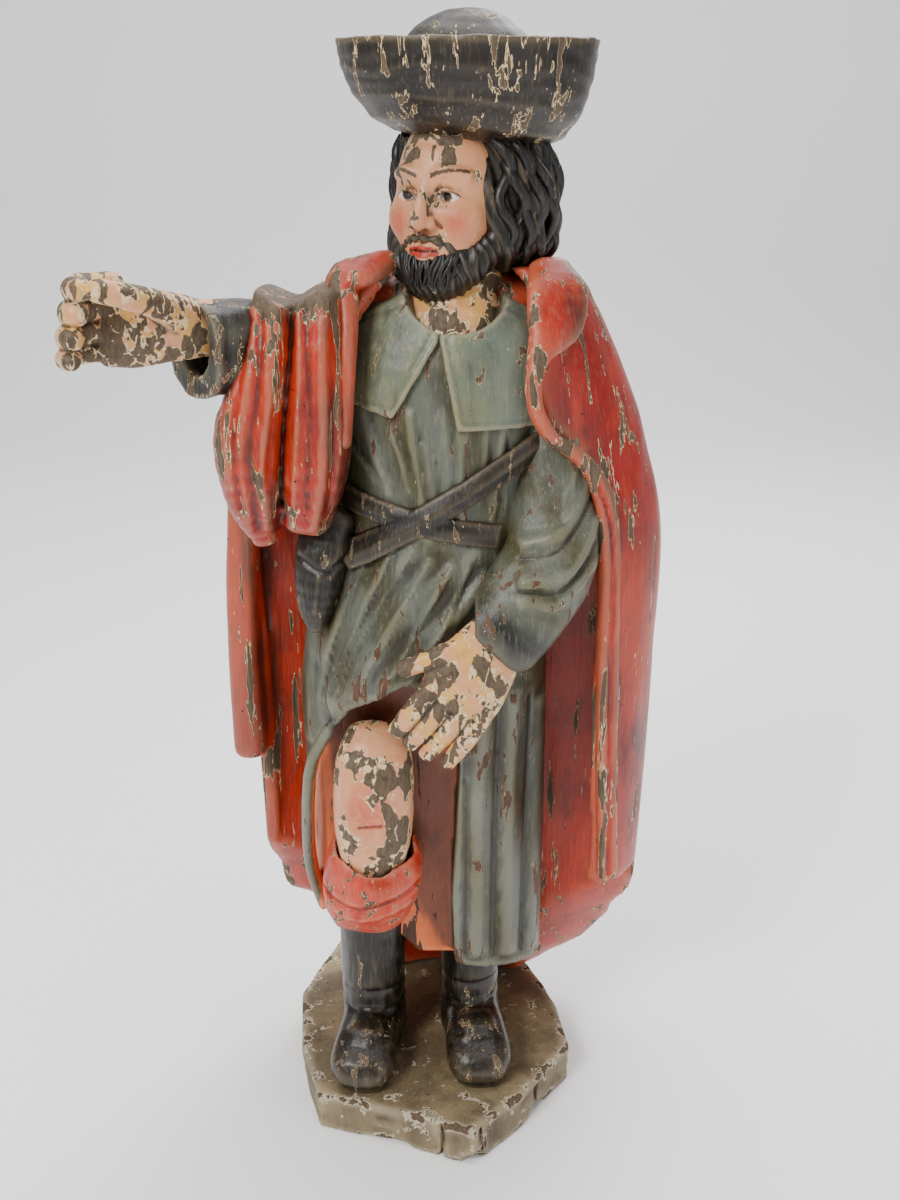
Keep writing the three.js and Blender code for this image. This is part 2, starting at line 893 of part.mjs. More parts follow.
function swollen(solid) {
  const box = solid.boundingBox();
  const middle = [0, 1, 2].map((i) => (box.min[i] + box.max[i]) / 2);
  const grown = [0, 1, 2].map((i) => 1 + (2 * JOINT_GAP) / (box.max[i] - box.min[i]));
  return solid
    .translate(middle.map((v) => -v))
    .scale(grown)
    .translate(middle);
}

const hatSolid = hat();
const handSolid = cleaned(rightHand());
const leftHandSolid = cleaned(leftHand());
const forearmSolid = cleaned(loose(rightForearm(), handSolid));
const figureSolid = cleaned(loose(figure(), hatSolid, forearmSolid, handSolid, leftHandSolid));

const saint = new THREE.Group();
saint.add(
  piece("base", base(), PAINT.base),
  piece("figure", figureSolid, PAINT.cloak),
  piece("hat", hatSolid, PAINT.hat),
  piece("right_forearm", forearmSolid, PAINT.sleeve),
  piece("right_hand", handSolid, PAINT.flesh),
  piece("left_hand", leftHandSolid, PAINT.flesh),
);

export default saint;
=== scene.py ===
"""The carved and painted wooden saint: fine surfaces and worn paint over the CAD solids.

Each piece is carved out of a block of sample points, in millimetres: shapes are added and cut,
and the surface that is left becomes a mesh. Sizes match those of the CAD solids.
"""
import math

import bpy
import numpy as np
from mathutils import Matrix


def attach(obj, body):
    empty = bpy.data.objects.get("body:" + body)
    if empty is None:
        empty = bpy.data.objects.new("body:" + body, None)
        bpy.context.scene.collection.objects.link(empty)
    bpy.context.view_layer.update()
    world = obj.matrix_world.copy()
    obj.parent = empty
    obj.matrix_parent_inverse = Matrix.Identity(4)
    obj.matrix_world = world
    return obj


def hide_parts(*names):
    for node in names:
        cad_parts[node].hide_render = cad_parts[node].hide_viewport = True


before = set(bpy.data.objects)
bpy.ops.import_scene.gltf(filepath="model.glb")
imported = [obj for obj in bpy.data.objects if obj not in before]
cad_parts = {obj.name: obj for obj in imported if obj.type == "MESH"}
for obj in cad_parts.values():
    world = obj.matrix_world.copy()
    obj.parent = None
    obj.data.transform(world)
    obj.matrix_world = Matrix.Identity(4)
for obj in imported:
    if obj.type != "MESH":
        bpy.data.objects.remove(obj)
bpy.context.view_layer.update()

# Sizes, in millimetres.
BASE_THICK = 40
GROUND = 40.4  # where soles and cloak stand on the base
CLOAK_WALL = 15
DRAPE_TOP = 786
NICHE_BACK_Y = -58
HEAD_AT = (6, -16, 788)
HEAD_YAW = -28
HAT_AT = (14, -4)
METRE = 0.001
FAR = 60.0  # the field's value well away from a shape
TURN = 2 * math.pi
LINE_STEPS = 8  # steps between two points of a smooth line
OVOID_MARGIN = 16  # how far an ovoid's or a limb's field is worked out past the shape itself
LIMB_MARGIN = 14
KEPT_FACES = 0.6  # share of its faces that a piece keeps when it is thinned
GRIME_AND_SHADE = 0.75  # how strongly the hollows of worn paint are darkened, as grime and as painted shade


# Curves and profiles.
def rows_at(rows, place):
    """The values of rows of [place, values...] at new places, along a smooth curve."""
    rows = np.asarray(rows, float)
    knots, values = rows[:, 0], rows[:, 1:]
    slopes = np.gradient(values, knots, axis=0)
    place = np.clip(place, knots[0], knots[-1])
    i = np.clip(np.searchsorted(knots, place, side="right") - 1, 0, len(knots) - 2)
    span = knots[i + 1] - knots[i]
    t = (place - knots[i]) / span
    a, b = 2 * t**3 - 3 * t**2 + 1, 3 * t**2 - 2 * t**3
    c, d = (t**3 - 2 * t**2 + t) * span, (t**3 - t**2) * span
    return [
        (a * values[i, n] + b * values[i + 1, n] + c * slopes[i, n] + d * slopes[i + 1, n]).astype(np.float32)
        for n in range(values.shape[1])
    ]


def straight_at(rows, place):
    """As rows_at, with straight lines between the rows."""
    rows = np.asarray(rows, float)
    return [np.interp(place, rows[:, 0], rows[:, n]).astype(np.float32) for n in range(1, rows.shape[1])]


def smooth_line(points):
    """Points along a smooth curve through the given ones."""
    points = np.asarray(points, float)
    rows = np.column_stack([np.arange(len(points)), points])
    last = len(points) - 1
    return np.stack(rows_at(rows, np.linspace(0, last, last * LINE_STEPS + 1)), axis=1)


def rise(value, low, high):
    """0 below low, 1 above high, smooth between. It falls where low is above high."""
    t = np.clip((value - low) / (high - low), 0, 1)
    return t * t * (3 - 2 * t)


def bell(value, middle, half):
    """1 at the middle, falling smoothly to about a third at `half` on either side."""
    return np.exp(-(((value - middle) / half) ** 2))


def least(a, b, blend):
    """The lower of two fields, with the corner between them rounded over `blend` millimetres."""
    if blend <= 0:
        return np.minimum(a, b)
    near = np.maximum(blend - np.abs(a - b), 0) / blend
    return np.minimum(a, b) - near * near * blend / 4


# The block of wood that a piece is carved from.
class Block:
    """Sample points in a box. The field is below 0 inside the wood."""

    def __init__(self, low, high, cell):
        self.cell = cell
        self.low = np.array(low, float) - 2.5 * cell
        counts = np.ceil((np.array(high, float) - self.low) / cell + 3).astype(int)
        self.lines = [(self.low[i] + cell * np.arange(counts[i])).astype(np.float32) for i in range(3)]
        shapes = [[-1 if j == i else 1 for j in range(3)] for i in range(3)]
        self.axes = [line.reshape(shape) for line, shape in zip(self.lines, shapes)]
        self.field = np.full(counts, FAR, np.float32)

    def twin(self):
        """Another block that shares this one's sample points and wood."""
        other = Block.__new__(Block)
        other.__dict__ = dict(self.__dict__)
        return other

    def turned(self, at, yaw):
        """The same block, with coordinates measured from `at` and turned about Z."""
        other = self.twin()
        cos, sin = math.cos(math.radians(yaw)), math.sin(math.radians(yaw))
        dx, dy = self.axes[0] - at[0], self.axes[1] - at[1]
        other.axes = [cos * dx + sin * dy, cos * dy - sin * dx, self.axes[2] - at[2]]
        return other

    def emptied(self):
        """The same sample points with no wood in them."""
        other = self.twin()
        other.field = np.full(self.field.shape, FAR, np.float32)
        return other

    def window(self, low, high, margin):
        """The part of the block that holds a box, and its coordinates there."""
        inside = np.ones((1, 1, 1), bool)
        for axis, a, b in zip(self.axes, low, high):
            inside = inside & (axis > a - margin) & (axis < b + margin)
        inside = np.broadcast_to(inside, self.field.shape)
        spans = []
        for axis in range(3):
            hits = np.flatnonzero(inside.any(axis=tuple(i for i in range(3) if i != axis)))
            if not len(hits):
                return None, None
            spans.append(slice(hits[0], hits[-1] + 1))
        seen = [
            axis[tuple(s if n > 1 else slice(None) for s, n in zip(spans, axis.shape))] for axis in self.axes
        ]
        return tuple(spans), seen

    def add(self, shape, blend=0.0):
        """Joins a shape on, with the corner between them filled over `blend` millimetres."""
        spans, values = shape
        if spans is not None:
            self.field[spans] = least(self.field[spans], values, blend)
        return self

    def cut(self, shape, blend=0.0):
        """Takes a shape away, with the edge that is left rounded over `blend` millimetres."""
        spans, values = shape
        if spans is not None:
            self.field[spans] = -least(-self.field[spans], values, blend)
        return self

    def keep(self, shape, blend=0.0):
        """Leaves only what is inside a shape."""
        spans, values = shape
        kept = -least(-self.field[spans], -values, blend)
        self.field[...] = FAR
        self.field[spans] = kept
        return self

    def raise_by(self, amount):
        """Moves the surface out by an amount that may vary over the block."""
        self.field -= amount
        return self


EVERYWHERE = (slice(None), slice(None), slice(None))


def lumps(block, size, seed):
    """Soft random swellings between -1 and 1, with a size in millimetres along each axis."""
    weights, counts = [], []
    for line, width in zip(block.lines, size):
        place = (line - line[0]) / width
        i = np.floor(place).astype(int)
        f = place - i
        f = f * f * (3 - 2 * f)
        weight = np.zeros((len(line), i.max() + 2))
        weight[np.arange(len(line)), i] = 1 - f
        weight[np.arange(len(line)), i + 1] += f
        weights.append(weight)
        counts.append(weight.shape[1])
    values = np.random.default_rng(seed).uniform(-1, 1, counts)
    return np.einsum("ai,bj,ck,ijk->abc", *weights, values, optimize=True).astype(np.float32)


def gouged(block, size, depth, seed):
    """Shallow hollows with a crisp ridge between them, as a gouge leaves."""
    block.raise_by(depth * (0.35 - np.abs(lumps(block, size, seed))))
    return block


# Shapes. Each returns its window of the block and its field there.
def ray_distance(k, reach):
    """Distance to a surface where k is 1, from k and the distance to its middle."""
    return (k - 1) * reach / np.maximum(k, 0.05)


def ovoid(block, centre, half):
    """An ellipsoid, from its centre and its half sizes."""
    centre, half = np.asarray(centre, float), np.asarray(half, float)
    spans, seen = block.window(centre - half, centre + half, OVOID_MARGIN)
    if spans is None:
        return None, None
    d = [axis - c for axis, c in zip(seen, centre)]
    k = sum(np.abs(v / h) ** 2.0 for v, h in zip(d, half)) ** 0.5
    return spans, ray_distance(k, np.sqrt(sum(v * v for v in d)))


def limb(block, stations, across=(0, 0, 1), steps=12, blunt=2.0):
    """A limb along a smooth path. Stations are x, y, z, half width, half thickness."""
    count = len(stations)
    rows = [[i / (count - 1), *s[:4], s[4] if len(s) > 4 else s[3]] for i, s in enumerate(stations)]
    x, y, z, a, b = rows_at(rows, np.linspace(0, 1, steps + 1))
    path = np.stack([x, y, z], axis=1)
    reach = float(max(a.max(), b.max()))
    spans, seen = block.window(path.min(axis=0) - reach, path.max(axis=0) + reach, LIMB_MARGIN)
    if spans is None:
        return None, None
    best = None
    for i in range(steps):
        start, run = path[i], path[i + 1] - path[i]
        length = max(float(np.linalg.norm(run)), 1e-3)
        along = run / length
        wide = np.asarray(across, float) - along * np.dot(across, along)
        wide /= np.linalg.norm(wide)
        thick = np.cross(along, wide)
        d = [axis - s for axis, s in zip(seen, start)]
        t = np.clip(sum(v * w for v, w in zip(d, along)) / length, 0, 1)
        d = [v - t * r for v, r in zip(d, run)]
        half_a, half_b = a[i] + t * (a[i + 1] - a[i]), b[i] + t * (b[i + 1] - b[i])
        u = sum(v * w for v, w in zip(d, wide)) / half_a
        v = sum(v * w for v, w in zip(d, thick)) / half_b
        e = sum(v * w for v, w in zip(d, along)) / np.minimum(half_a, half_b)
        k = (np.abs(u) ** blunt + np.abs(v) ** blunt + np.abs(e) ** blunt) ** (1 / blunt)
        field = ray_distance(k, np.sqrt(sum(w * w for w in d)))
        best = field if best is None else np.minimum(best, field)
    return spans, best


def column(block, rows, swell=0.0, low=None, high=None):
    """Level oval sections. Rows are height, centre x and y, half width, half depth."""
    x, y, z = block.axes
    cx, cy, rx, ry = rows_at(rows, z)
    dx, dy = x - cx, y - cy
    k = np.sqrt((dx / (rx + swell)) ** 2 + (dy / (ry + swell)) ** 2)
    field = ray_distance(k, np.sqrt(dx * dx + dy * dy))
    bottom = (rows[0][0] if low is None else low) - z
    top = z - (rows[-1][0] if high is None else high)
    return EVERYWHERE, np.maximum(field, np.maximum(bottom, top))


def squared_gap(ax, ay, bx, by, u, v):
    """Squared distance to a straight line from point a to point b."""
    ex, ey = bx - ax, by - ay
    t = np.clip(((u - ax) * ex + (v - ay) * ey) / max(ex * ex + ey * ey, 1e-6), 0, 1)
    return (u - ax - t * ex) ** 2 + (v - ay - t * ey) ** 2


def outline_distance(points, u, v):
    """Signed distance to a closed outline, below 0 inside."""
    points = np.asarray(points, float)
    nearest, inside = None, None
    for (ax, ay), (bx, by) in zip(points, np.roll(points, -1, axis=0)):
        gap = squared_gap(ax, ay, bx, by, u, v)
        nearest = gap if nearest is None else np.minimum(nearest, gap)
        if ay != by:
            crossed = ((ay > v) != (by > v)) & (u < (bx - ax) * (v - ay) / (by - ay) + ax)
            inside = crossed if inside is None else inside ^ crossed
    return np.where(inside, -1, 1) * np.sqrt(nearest)


def sawn(block, outline, near, far):
    """An outline in the front view, [x, z] points, sawn through between two depths."""
    x, y, z = block.axes
    side = outline_distance(outline, x, z).astype(np.float32)
    ends = np.maximum(near - y, y - far)
    return EVERYWHERE, np.maximum(side, ends)


def line_distance(points, u, v):
    """Distance to an open line of points."""
    nearest = None
    for (ax, ay), (bx, by) in zip(points[:-1], points[1:]):
        gap = squared_gap(ax, ay, bx, by, u, v)
        nearest = gap if nearest is None else np.minimum(nearest, gap)
    return np.sqrt(nearest)


def ridges(block, strokes):
    """How far carved strokes lift the surface, in the front view.

    A stroke is its points, its half width and its height. A height below 0 is a groove.
    """
    u, _, v = block.axes
    lift = 0.0
    for points, half, height in strokes:
        gap = line_distance(smooth_line(points), u, v)
        share = np.clip(1 - gap / half, 0, 1)
        shape = share if height < 0 else share * share * (3 - 2 * share)
        lift = lift + height * shape
    return lift


# From the field to a mesh.
def surface(field):
    """Vertices, in cells, and four-sided faces of the surface where the field is 0."""
    shape = np.array(field.shape)
    corners, places, faces = [], [], []
    for axis in range(3):
        u, v = [(axis + 1) % 3, (axis + 2) % 3]
        a = np.take(field, np.arange(shape[axis] - 1), axis=axis)
        b = np.take(field, np.arange(1, shape[axis]), axis=axis)
        start = np.argwhere((a < 0) != (b < 0))
        fa, fb = a[tuple(start.T)], b[tuple(start.T)]
        place = start.astype(float)
        place[:, axis] += fa / (fa - fb)
        ring = []
        for du, dv in ((0, 0), (1, 0), (1, 1), (0, 1)):
            cell = start.copy()
            cell[:, u] -= du
            cell[:, v] -= dv
            ring.append(np.ravel_multi_index(tuple(cell.T), tuple(shape)))
        ring = np.stack(ring, axis=1)
        ring[fa > 0] = ring[fa > 0][:, ::-1]
        faces.append(ring)
        corners.append(ring.ravel())
        places.append(np.repeat(place, 4, axis=0))
    corners, places, faces = np.concatenate(corners), np.concatenate(places), np.concatenate(faces)
    names, which = np.unique(corners, return_inverse=True)
    count = np.bincount(which)
    points = np.stack([np.bincount(which, places[:, i]) / count for i in range(3)], axis=1)
    return points, np.searchsorted(names, faces)


def neighbour_mean(values, edges, count):
    """For each point, the mean of the values at the points it is joined to."""
    sums = np.zeros_like(values)
    for n in range(values.shape[1]):
        sums[:, n] = np.bincount(edges[:, 0], values[edges[:, 1], n], len(values))
        sums[:, n] += np.bincount(edges[:, 1], values[edges[:, 0], n], len(values))
    return sums / count[:, None]


def relief_of(points, faces, edges, count, passes):
    """How far each point stands out of the surface round it, in millimetres, and the normals."""
    around = points
    for _ in range(passes):
        around = neighbour_mean(around, edges, count)
    corner = points[faces]
    facing = np.cross(corner[:, 2] - corner[:, 0], corner[:, 3] - corner[:, 1])
    normals = np.stack(
        [sum(np.bincount(faces[:, k], facing[:, n], len(points)) for k in range(4)) for n in range(3)], axis=1
    )
    normals /= np.maximum(np.linalg.norm(normals, axis=1, keepdims=True), 1e-9)
    relief = np.sum((points - around) * normals, axis=1)
    return neighbour_mean(relief[:, None], edges, count)[:, 0], normals


def carve(name, block, material, paint=None, node="figure", passes=14):
    """The block's surface as a mesh, with its relief and its painted colours as attributes."""
    for side in (0, -1):  # the wood ends inside the block on every side
        block.field[side], block.field[:, side], block.field[:, :, side] = FAR, FAR, FAR
    cells, faces = surface(block.field)
    points = block.low + cells * block.cell
    edges = np.concatenate([faces[:, [k, (k + 1) % 4]] for k in range(4)])
    count = np.bincount(edges.ravel(), minlength=len(points))
    points = 0.5 * points + 0.5 * neighbour_mean(points, edges, count)
    relief, normals = relief_of(points, faces, edges, count, passes)

    mesh = bpy.data.meshes.new(name)
    mesh.vertices.add(len(points))
    mesh.vertices.foreach_set("co", (points * METRE).astype(np.float32).ravel())
    mesh.loops.add(faces.size)
    mesh.loops.foreach_set("vertex_index", faces.astype(np.int32).ravel())
    mesh.polygons.add(len(faces))
    mesh.polygons.foreach_set("loop_start", np.arange(0, faces.size, 4, dtype=np.int32))
    mesh.polygons.foreach_set("use_smooth", np.ones(len(faces), bool))
    mesh.update(calc_edges=True)
    mesh.validate()
    mesh.attributes.new("relief", "FLOAT", "POINT").data.foreach_set("value", relief.astype(np.float32))
    if paint is not None:
        painted = paint(points, normals)
        colours = np.zeros((len(points), 4), np.float32)
        colours[:, : painted.shape[1]] = painted
        mesh.attributes.new("paint", "FLOAT_COLOR", "POINT").data.foreach_set("color", colours.ravel())
    mesh.materials.append(material)
    piece = bpy.data.objects.new(name, mesh)
    bpy.context.scene.collection.objects.link(piece)
    thinned(piece, KEPT_FACES)
    return dress(piece, node)


def thinned(piece, share):
    """Fewer faces where the surface is nearly flat."""
    modifier = piece.modifiers.new("thinned", "DECIMATE")
    modifier.ratio = share
    settle(piece)


def settle(piece):
    """The piece's modifiers become part of its mesh."""
    shape = piece.evaluated_get(bpy.context.evaluated_depsgraph_get())
    old = piece.data
    piece.data = bpy.data.meshes.new_from_object(shape)
    piece.data.name = old.name
    piece.modifiers.clear()
    bpy.data.meshes.remove(old)


def dress(piece, node):
    """Fixes the piece to the part and hides the CAD node it replaces."""
    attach(piece, "root")
    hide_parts(node)
    return piece


# Colours, as they are seen, made linear.
def hue(red, green, blue):
    return np.array([(v / 255) ** 2.75 for v in (red, green, blue)])


RED = hue(168, 32, 12)
DEEP_RED = hue(116, 16, 8)
PINK_RED = hue(214, 78, 50)
LINING = hue(196, 62, 14)
# the lining's orange-red, partly its own colour and partly painted light lifting the shaded niche
NICHE_LIT_RED = hue(246, 134, 70)
OLIVE = hue(92, 90, 64)
BLUE_GREY = hue(112, 116, 106)
PALE_GREEN = hue(132, 136, 110)
SLATE = hue(40, 42, 44)
FLESH = hue(226, 168, 128)
ROSE = hue(206, 96, 76)
LIP = hue(184, 58, 46)
HAIR_BLACK = hue(28, 25, 23)
HAT_BROWN = hue(36, 29, 23)
LEATHER = hue(34, 28, 22)
CREAM = hue(232, 208, 168)
BARE_WOOD = hue(124, 106, 84)
DARK_WOOD = hue(60, 46, 34)
BASE_GREY = hue(126, 112, 88)


def rubbed(colour, amount):
    """Painted colours with a fourth number, for how far the paint is rubbed off or kept on."""
    return np.column_stack((colour, np.clip(amount, 0, 1)))


def washed(base, other, amount):
    """A painted colour carried into another by an amount for each point."""
    return base + (other - base) * np.clip(amount, 0, 1)[:, None]


# Shader maths.
class Link:
    """A number or colour in a shader, used in Python expressions."""

    def __init__(self, finish, socket):
        self.finish, self.socket = finish, socket

    def maths(self, operation, first, second):
        return self.finish.node("ShaderNodeMath", {"operation": operation}, {0: first, 1: second})

    def __add__(self, other):
        return self.maths("ADD", self, other)

    def __radd__(self, other):
        return self.maths("ADD", other, self)

    def __sub__(self, other):
        return self.maths("SUBTRACT", self, other)

    def __rsub__(self, other):
        return self.maths("SUBTRACT", other, self)

    def __mul__(self, other):
        return self.maths("MULTIPLY", self, other)

    def __rmul__(self, other):
        return self.maths("MULTIPLY", other, self)

    def edge(self, low, high):
        """0 below low and 1 above high, smooth between. It falls where low is above high."""
        settings = {"interpolation_type": "SMOOTHSTEP"}
        return self.finish.node("ShaderNodeMapRange", settings, {0: self, 1: low, 2: high, 3: 0.0, 4: 1.0})


class Finish:
    """A material in the making."""

    def __init__(self, name):
        self.material = bpy.data.materials.new(name)
        self.material.use_nodes = True
        self.tree = self.material.node_tree
        self.tree.nodes.clear()

    def node(self, kind, settings, inputs, output=0):
        node = self.tree.nodes.new(kind)
        for key, value in settings.items():
            setattr(node, key, value)
        for key, value in inputs.items():
            if isinstance(value, Link):
                self.tree.links.new(value.socket, node.inputs[key])
            else:
                node.inputs[key].default_value = value
        return Link(self, node.outputs[output])

    def place(self, stretch=(1, 1, 1), turn=(0, 0, 0)):
        """Places on the piece, in metres, stretched and turned."""
        spot = self.node("ShaderNodeTexCoord", {}, {}, "Object")
        inputs = {"Vector": spot, "Scale": stretch, "Rotation": turn}
        return self.node("ShaderNodeMapping", {}, inputs)

    def noise(self, place, size, detail=4.0, roughness=0.55, warp=0.0):
        """Noise whose features are about `size` millimetres across."""
        inputs = {"Vector": place, "Scale": 1000 / size, "Detail": detail, "Roughness": roughness}
        return self.node("ShaderNodeTexNoise", {}, {**inputs, "Distortion": warp})

    def crackle(self, place, size):
        """Distance to the nearest crack of a net of cracks."""
        settings = {"feature": "DISTANCE_TO_EDGE"}
        return self.node("ShaderNodeTexVoronoi", settings, {"Vector": place, "Scale": 1000 / size})

    def warped(self, place, size, amount):
        """The place pushed about by a noise, by up to `amount` millimetres."""
        inputs = {"Vector": place, "Scale": 1000 / size, "Detail": 3.0}
        push = self.node("ShaderNodeTexNoise", {}, inputs, "Color")
        far = (amount * METRE,) * 3
        return self.node("ShaderNodeVectorMath", {"operation": "MULTIPLY_ADD"}, {0: push, 1: far, 2: place})

    def cell(self, place, size):
        """A chance number from 0 to 1 for each cell of a mosaic."""
        inputs = {"Vector": place, "Scale": 1000 / size}
        colour = self.node("ShaderNodeTexVoronoi", {"feature": "F1"}, inputs, "Color")
        return self.node("ShaderNodeSeparateColor", {}, {"Color": colour})

    def attribute(self, name, output="Fac"):
        return self.node("ShaderNodeAttribute", {"attribute_name": name}, {}, output)

    def mix(self, amount, first, second):
        settings = {"data_type": "RGBA", "clamp_factor": True}
        colours = [c if isinstance(c, Link) else (*map(float, c), 1.0) for c in (first, second)]
        return self.node("ShaderNodeMix", settings, {0: amount, 6: colours[0], 7: colours[1]}, 2)

    def shine(self, colour, roughness, height, bump):
        """The surface shader, with the height in millimetres as bump."""
        inputs = {"Height": height, "Strength": bump, "Distance": METRE}
        normal = self.node("ShaderNodeBump", {}, inputs)
        inputs = {"Base Color": colour, "Roughness": roughness, "Normal": normal}
        shader = self.node("ShaderNodeBsdfPrincipled", {}, inputs)
        self.output(shader)
        return self.material

    def output(self, shader):
        node = self.tree.nodes.new("ShaderNodeOutputMaterial")
        self.tree.links.new(shader.socket, node.inputs["Surface"])


def worn_paint(
    name,
    colour=None,
    loss=0.64,
    flake=24,
    tall=0.22,
    rim=0.012,
    edge_wear=0.03,
    gloss=0.4,
    ground=CREAM,
    wood=BARE_WOOD,
    shade=0.5,
    sheen=0.3,
    nicks=0.72,
    wash=None,
):
    """Old oil paint on carved wood, flaked off down to a pale ground and to bare wood.

    Paint is gone where a noise passes `loss`. `flake` is the size of the gaps in millimetres and
    `tall` draws them out upright. Edges that stand proud wear by `edge_wear`. `shade` is how far
    the brushed colour falls, and `sheen` how far it rises along the brush strokes and, as a painted
    highlight, on ridges that stand proud. Hollows are darkened as grime and as painted shade.
    `wash` is a second colour brushed over the first.
    """
    look = Finish(name)
    spot = look.place()
    upright = look.place(stretch=(1, 1, tall))
    strokes = look.place(stretch=(1, 1, 0.12), turn=(0.12, 0.1, 0))
    relief = look.attribute("relief")
    if colour is None:
        paint = look.attribute("paint", "Color")
        rubbing = 0.3 * look.attribute("paint", "Alpha")
    else:
        paint = look.mix(0.0, colour, colour)
        rubbing = 0.0
    if wash is not None:
        second = look.noise(look.place(stretch=(1, 1, 0.35)), 48, detail=5)
        paint = look.mix(second.edge(0.42, 0.6), paint, wash)

    broad = look.noise(upright, flake, detail=2.5, roughness=0.5, warp=0.6)
    small = look.noise(upright, flake / 4, detail=2, roughness=0.6, warp=0.5)
    worn = broad + 0.3 * small + edge_wear * relief + rubbing - 0.15
    gone = worn.edge(loss, loss + 0.006)
    primed = worn.edge(loss - rim, loss - rim + 0.006)
    nick = look.noise(upright, flake / 3.2, detail=2, roughness=0.7).edge(nicks, nicks + 0.012)

    brush = look.noise(strokes, 2.6, detail=3, roughness=0.6)
    tone = look.noise(spot, 55, detail=4, roughness=0.6)
    mottle = look.noise(look.place(stretch=(1, 1, 0.4)), 12, detail=4, roughness=0.65)
    grain = look.noise(look.place(stretch=(1, 1, 0.06)), 2.2, detail=4, roughness=0.7)

    deep = look.mix(0.75, paint, (0.012, 0.008, 0.004))
    bright = look.mix(0.3, paint, ground)
    body = look.mix(tone.edge(0.42, 0.68) * shade, paint, deep)
    body = look.mix(mottle.edge(0.5, 0.72) * shade, body, deep)
    body = look.mix(brush.edge(0.5, 0.7) * sheen, body, bright)
    # painted highlight: ridges that stand proud lightened towards the ground colour
    body = look.mix(relief.edge(0.15, 1.2) * sheen * 1.7, body, bright)
    timber = look.mix(grain.edge(0.35, 0.68), wood, look.mix(0.65, wood, (0.02, 0.014, 0.008)))
    skin = look.mix(primed, body, ground)
    skin = look.mix(nick * 0.7, skin, look.mix(mottle.edge(0.45, 0.55), ground, wood))
    skin = look.mix(gone, skin, timber)
    # grime and painted shade: hollows darkened towards near-black by their relief
    skin = look.mix(relief.edge(-0.1, -1.0) * GRIME_AND_SHADE, skin, (0.02, 0.014, 0.009))

    rough = gone * 0.25 + brush * 0.2 + mottle * 0.1 + (gloss - 0.13)
    height = 0.45 * brush + (1 - primed) * 0.7 + small * 0.4 + grain * gone * 0.8 + 0.3 * mottle
    return look.shine(skin, rough, height, bump=0.7)


def bare_mosaic(name, bare=0.5, size=13):
    """Flesh paint that has come off in hard-edged chips, with a few thin pale lines between them.

    The painted alpha guards the paint, which stays on where it is 1.
    """
    look = Finish(name)
    relief = look.attribute("relief")
    paint = look.attribute("paint", "Color")
    guard = look.attribute("paint", "Alpha")
    spot = look.place()
    patches = look.warped(look.place(stretch=(1, 1, 0.6)), size * 0.9, size * 0.9)
    chips = look.warped(spot, size * 0.3, size * 0.3)
    broad = look.noise(look.place(stretch=(1, 1, 0.5)), size * 2.2, detail=3)
    level = 0.42 * look.cell(patches, size) + 0.16 * look.cell(chips, size * 0.4) + 0.9 * broad - 0.24
    level = level - 0.5 * guard
    gone = level.edge(bare, bare + 0.01)
    rim = level.edge(bare - 0.05, bare - 0.04)
    line = look.crackle(patches, size).edge(0.05, 0.03) * look.noise(spot, 11, detail=3).edge(0.5, 0.54)
    grain = look.noise(look.place(stretch=(1, 1, 0.2)), 2.4, detail=4, roughness=0.7)
    mottle = look.noise(spot, 7, detail=4, roughness=0.6)
    timber = look.mix(grain.edge(0.35, 0.7), BARE_WOOD, look.mix(0.6, BARE_WOOD, DARK_WOOD))
    timber = look.mix(mottle.edge(0.5, 0.75) * 0.6, timber, DARK_WOOD)
    body = look.mix(mottle.edge(0.45, 0.7) * 0.4, paint, look.mix(0.5, paint, CREAM))
    body = look.mix(mottle.edge(0.42, 0.25) * 0.4, body, look.mix(0.5, paint, DARK_WOOD))
    skin = look.mix(rim, body, CREAM)
    skin = look.mix(gone, skin, timber)
    skin = look.mix(line * gone, skin, CREAM)
    # grime and painted shade: hollows darkened towards near-black by their relief
    skin = look.mix(relief.edge(-0.1, -0.7) * 0.85, skin, (0.03, 0.02, 0.012))
    height = (1 - gone) * 0.8 + 0.4 * grain + 0.3 * mottle + line * 0.3
    return look.shine(skin, 0.34 + gone * 0.28, height, bump=0.8)


# Materials of the figure's parts.
ORANGE = hue(190, 62, 14)
cloak_paint = worn_paint(
    "cloak paint", loss=0.635, flake=15, tall=0.14, rim=0.012, wash=ORANGE, nicks=0.73, sheen=0.18
)
drape_paint = worn_paint(
    "drape paint", loss=0.62, flake=14, tall=0.14, rim=0.014, wash=ORANGE, nicks=0.73, sheen=0.26
)
tunic_paint = worn_paint(
    "tunic paint", loss=0.645, flake=11, tall=0.16, rim=0.006, wood=hue(118, 84, 60),
    ground=hue(196, 192, 166), sheen=0.36, nicks=0.73,
)
collar_paint = worn_paint(
    "collar paint", PALE_GREEN, loss=0.68, flake=11, tall=0.5, rim=0.01, nicks=0.74, wash=hue(118, 128, 116)
)
leather_paint = worn_paint("leather paint", LEATHER, loss=0.71, flake=10, rim=0.008, sheen=0.16, nicks=0.74)
knee_paint = bare_mosaic("knee paint", bare=0.56, size=15)
hand_paint = bare_mosaic("hand paint", bare=0.5, size=11)
neck_paint = bare_mosaic("neck paint", bare=0.53, size=11)
face_paint = worn_paint(
    "face paint", loss=0.64, flake=12, tall=0.4, rim=0.02, edge_wear=0.01, shade=0.22, sheen=0.16
)
hair_paint = worn_paint("hair paint", HAIR_BLACK, loss=0.72, flake=8, rim=0.006, sheen=0.16, nicks=0.77)
hat_paint = worn_paint(
    "hat paint", HAT_BROWN, loss=0.65, flake=13, tall=0.16, rim=0.02, sheen=0.2, nicks=0.69,
    wash=hue(52, 42, 33),
)
boot_paint = worn_paint(
    "boot paint", LEATHER, loss=0.66, flake=12, tall=0.25, rim=0.01, gloss=0.3, sheen=0.2, nicks=0.76
)
sleeve_paint = worn_paint("sleeve paint", loss=0.63, flake=11, tall=0.5, rim=0.016, sheen=0.2, nicks=0.68)
stocking_paint = worn_paint("stocking paint", loss=0.66, flake=12, tall=0.7, shade=0.4, wash=ORANGE)
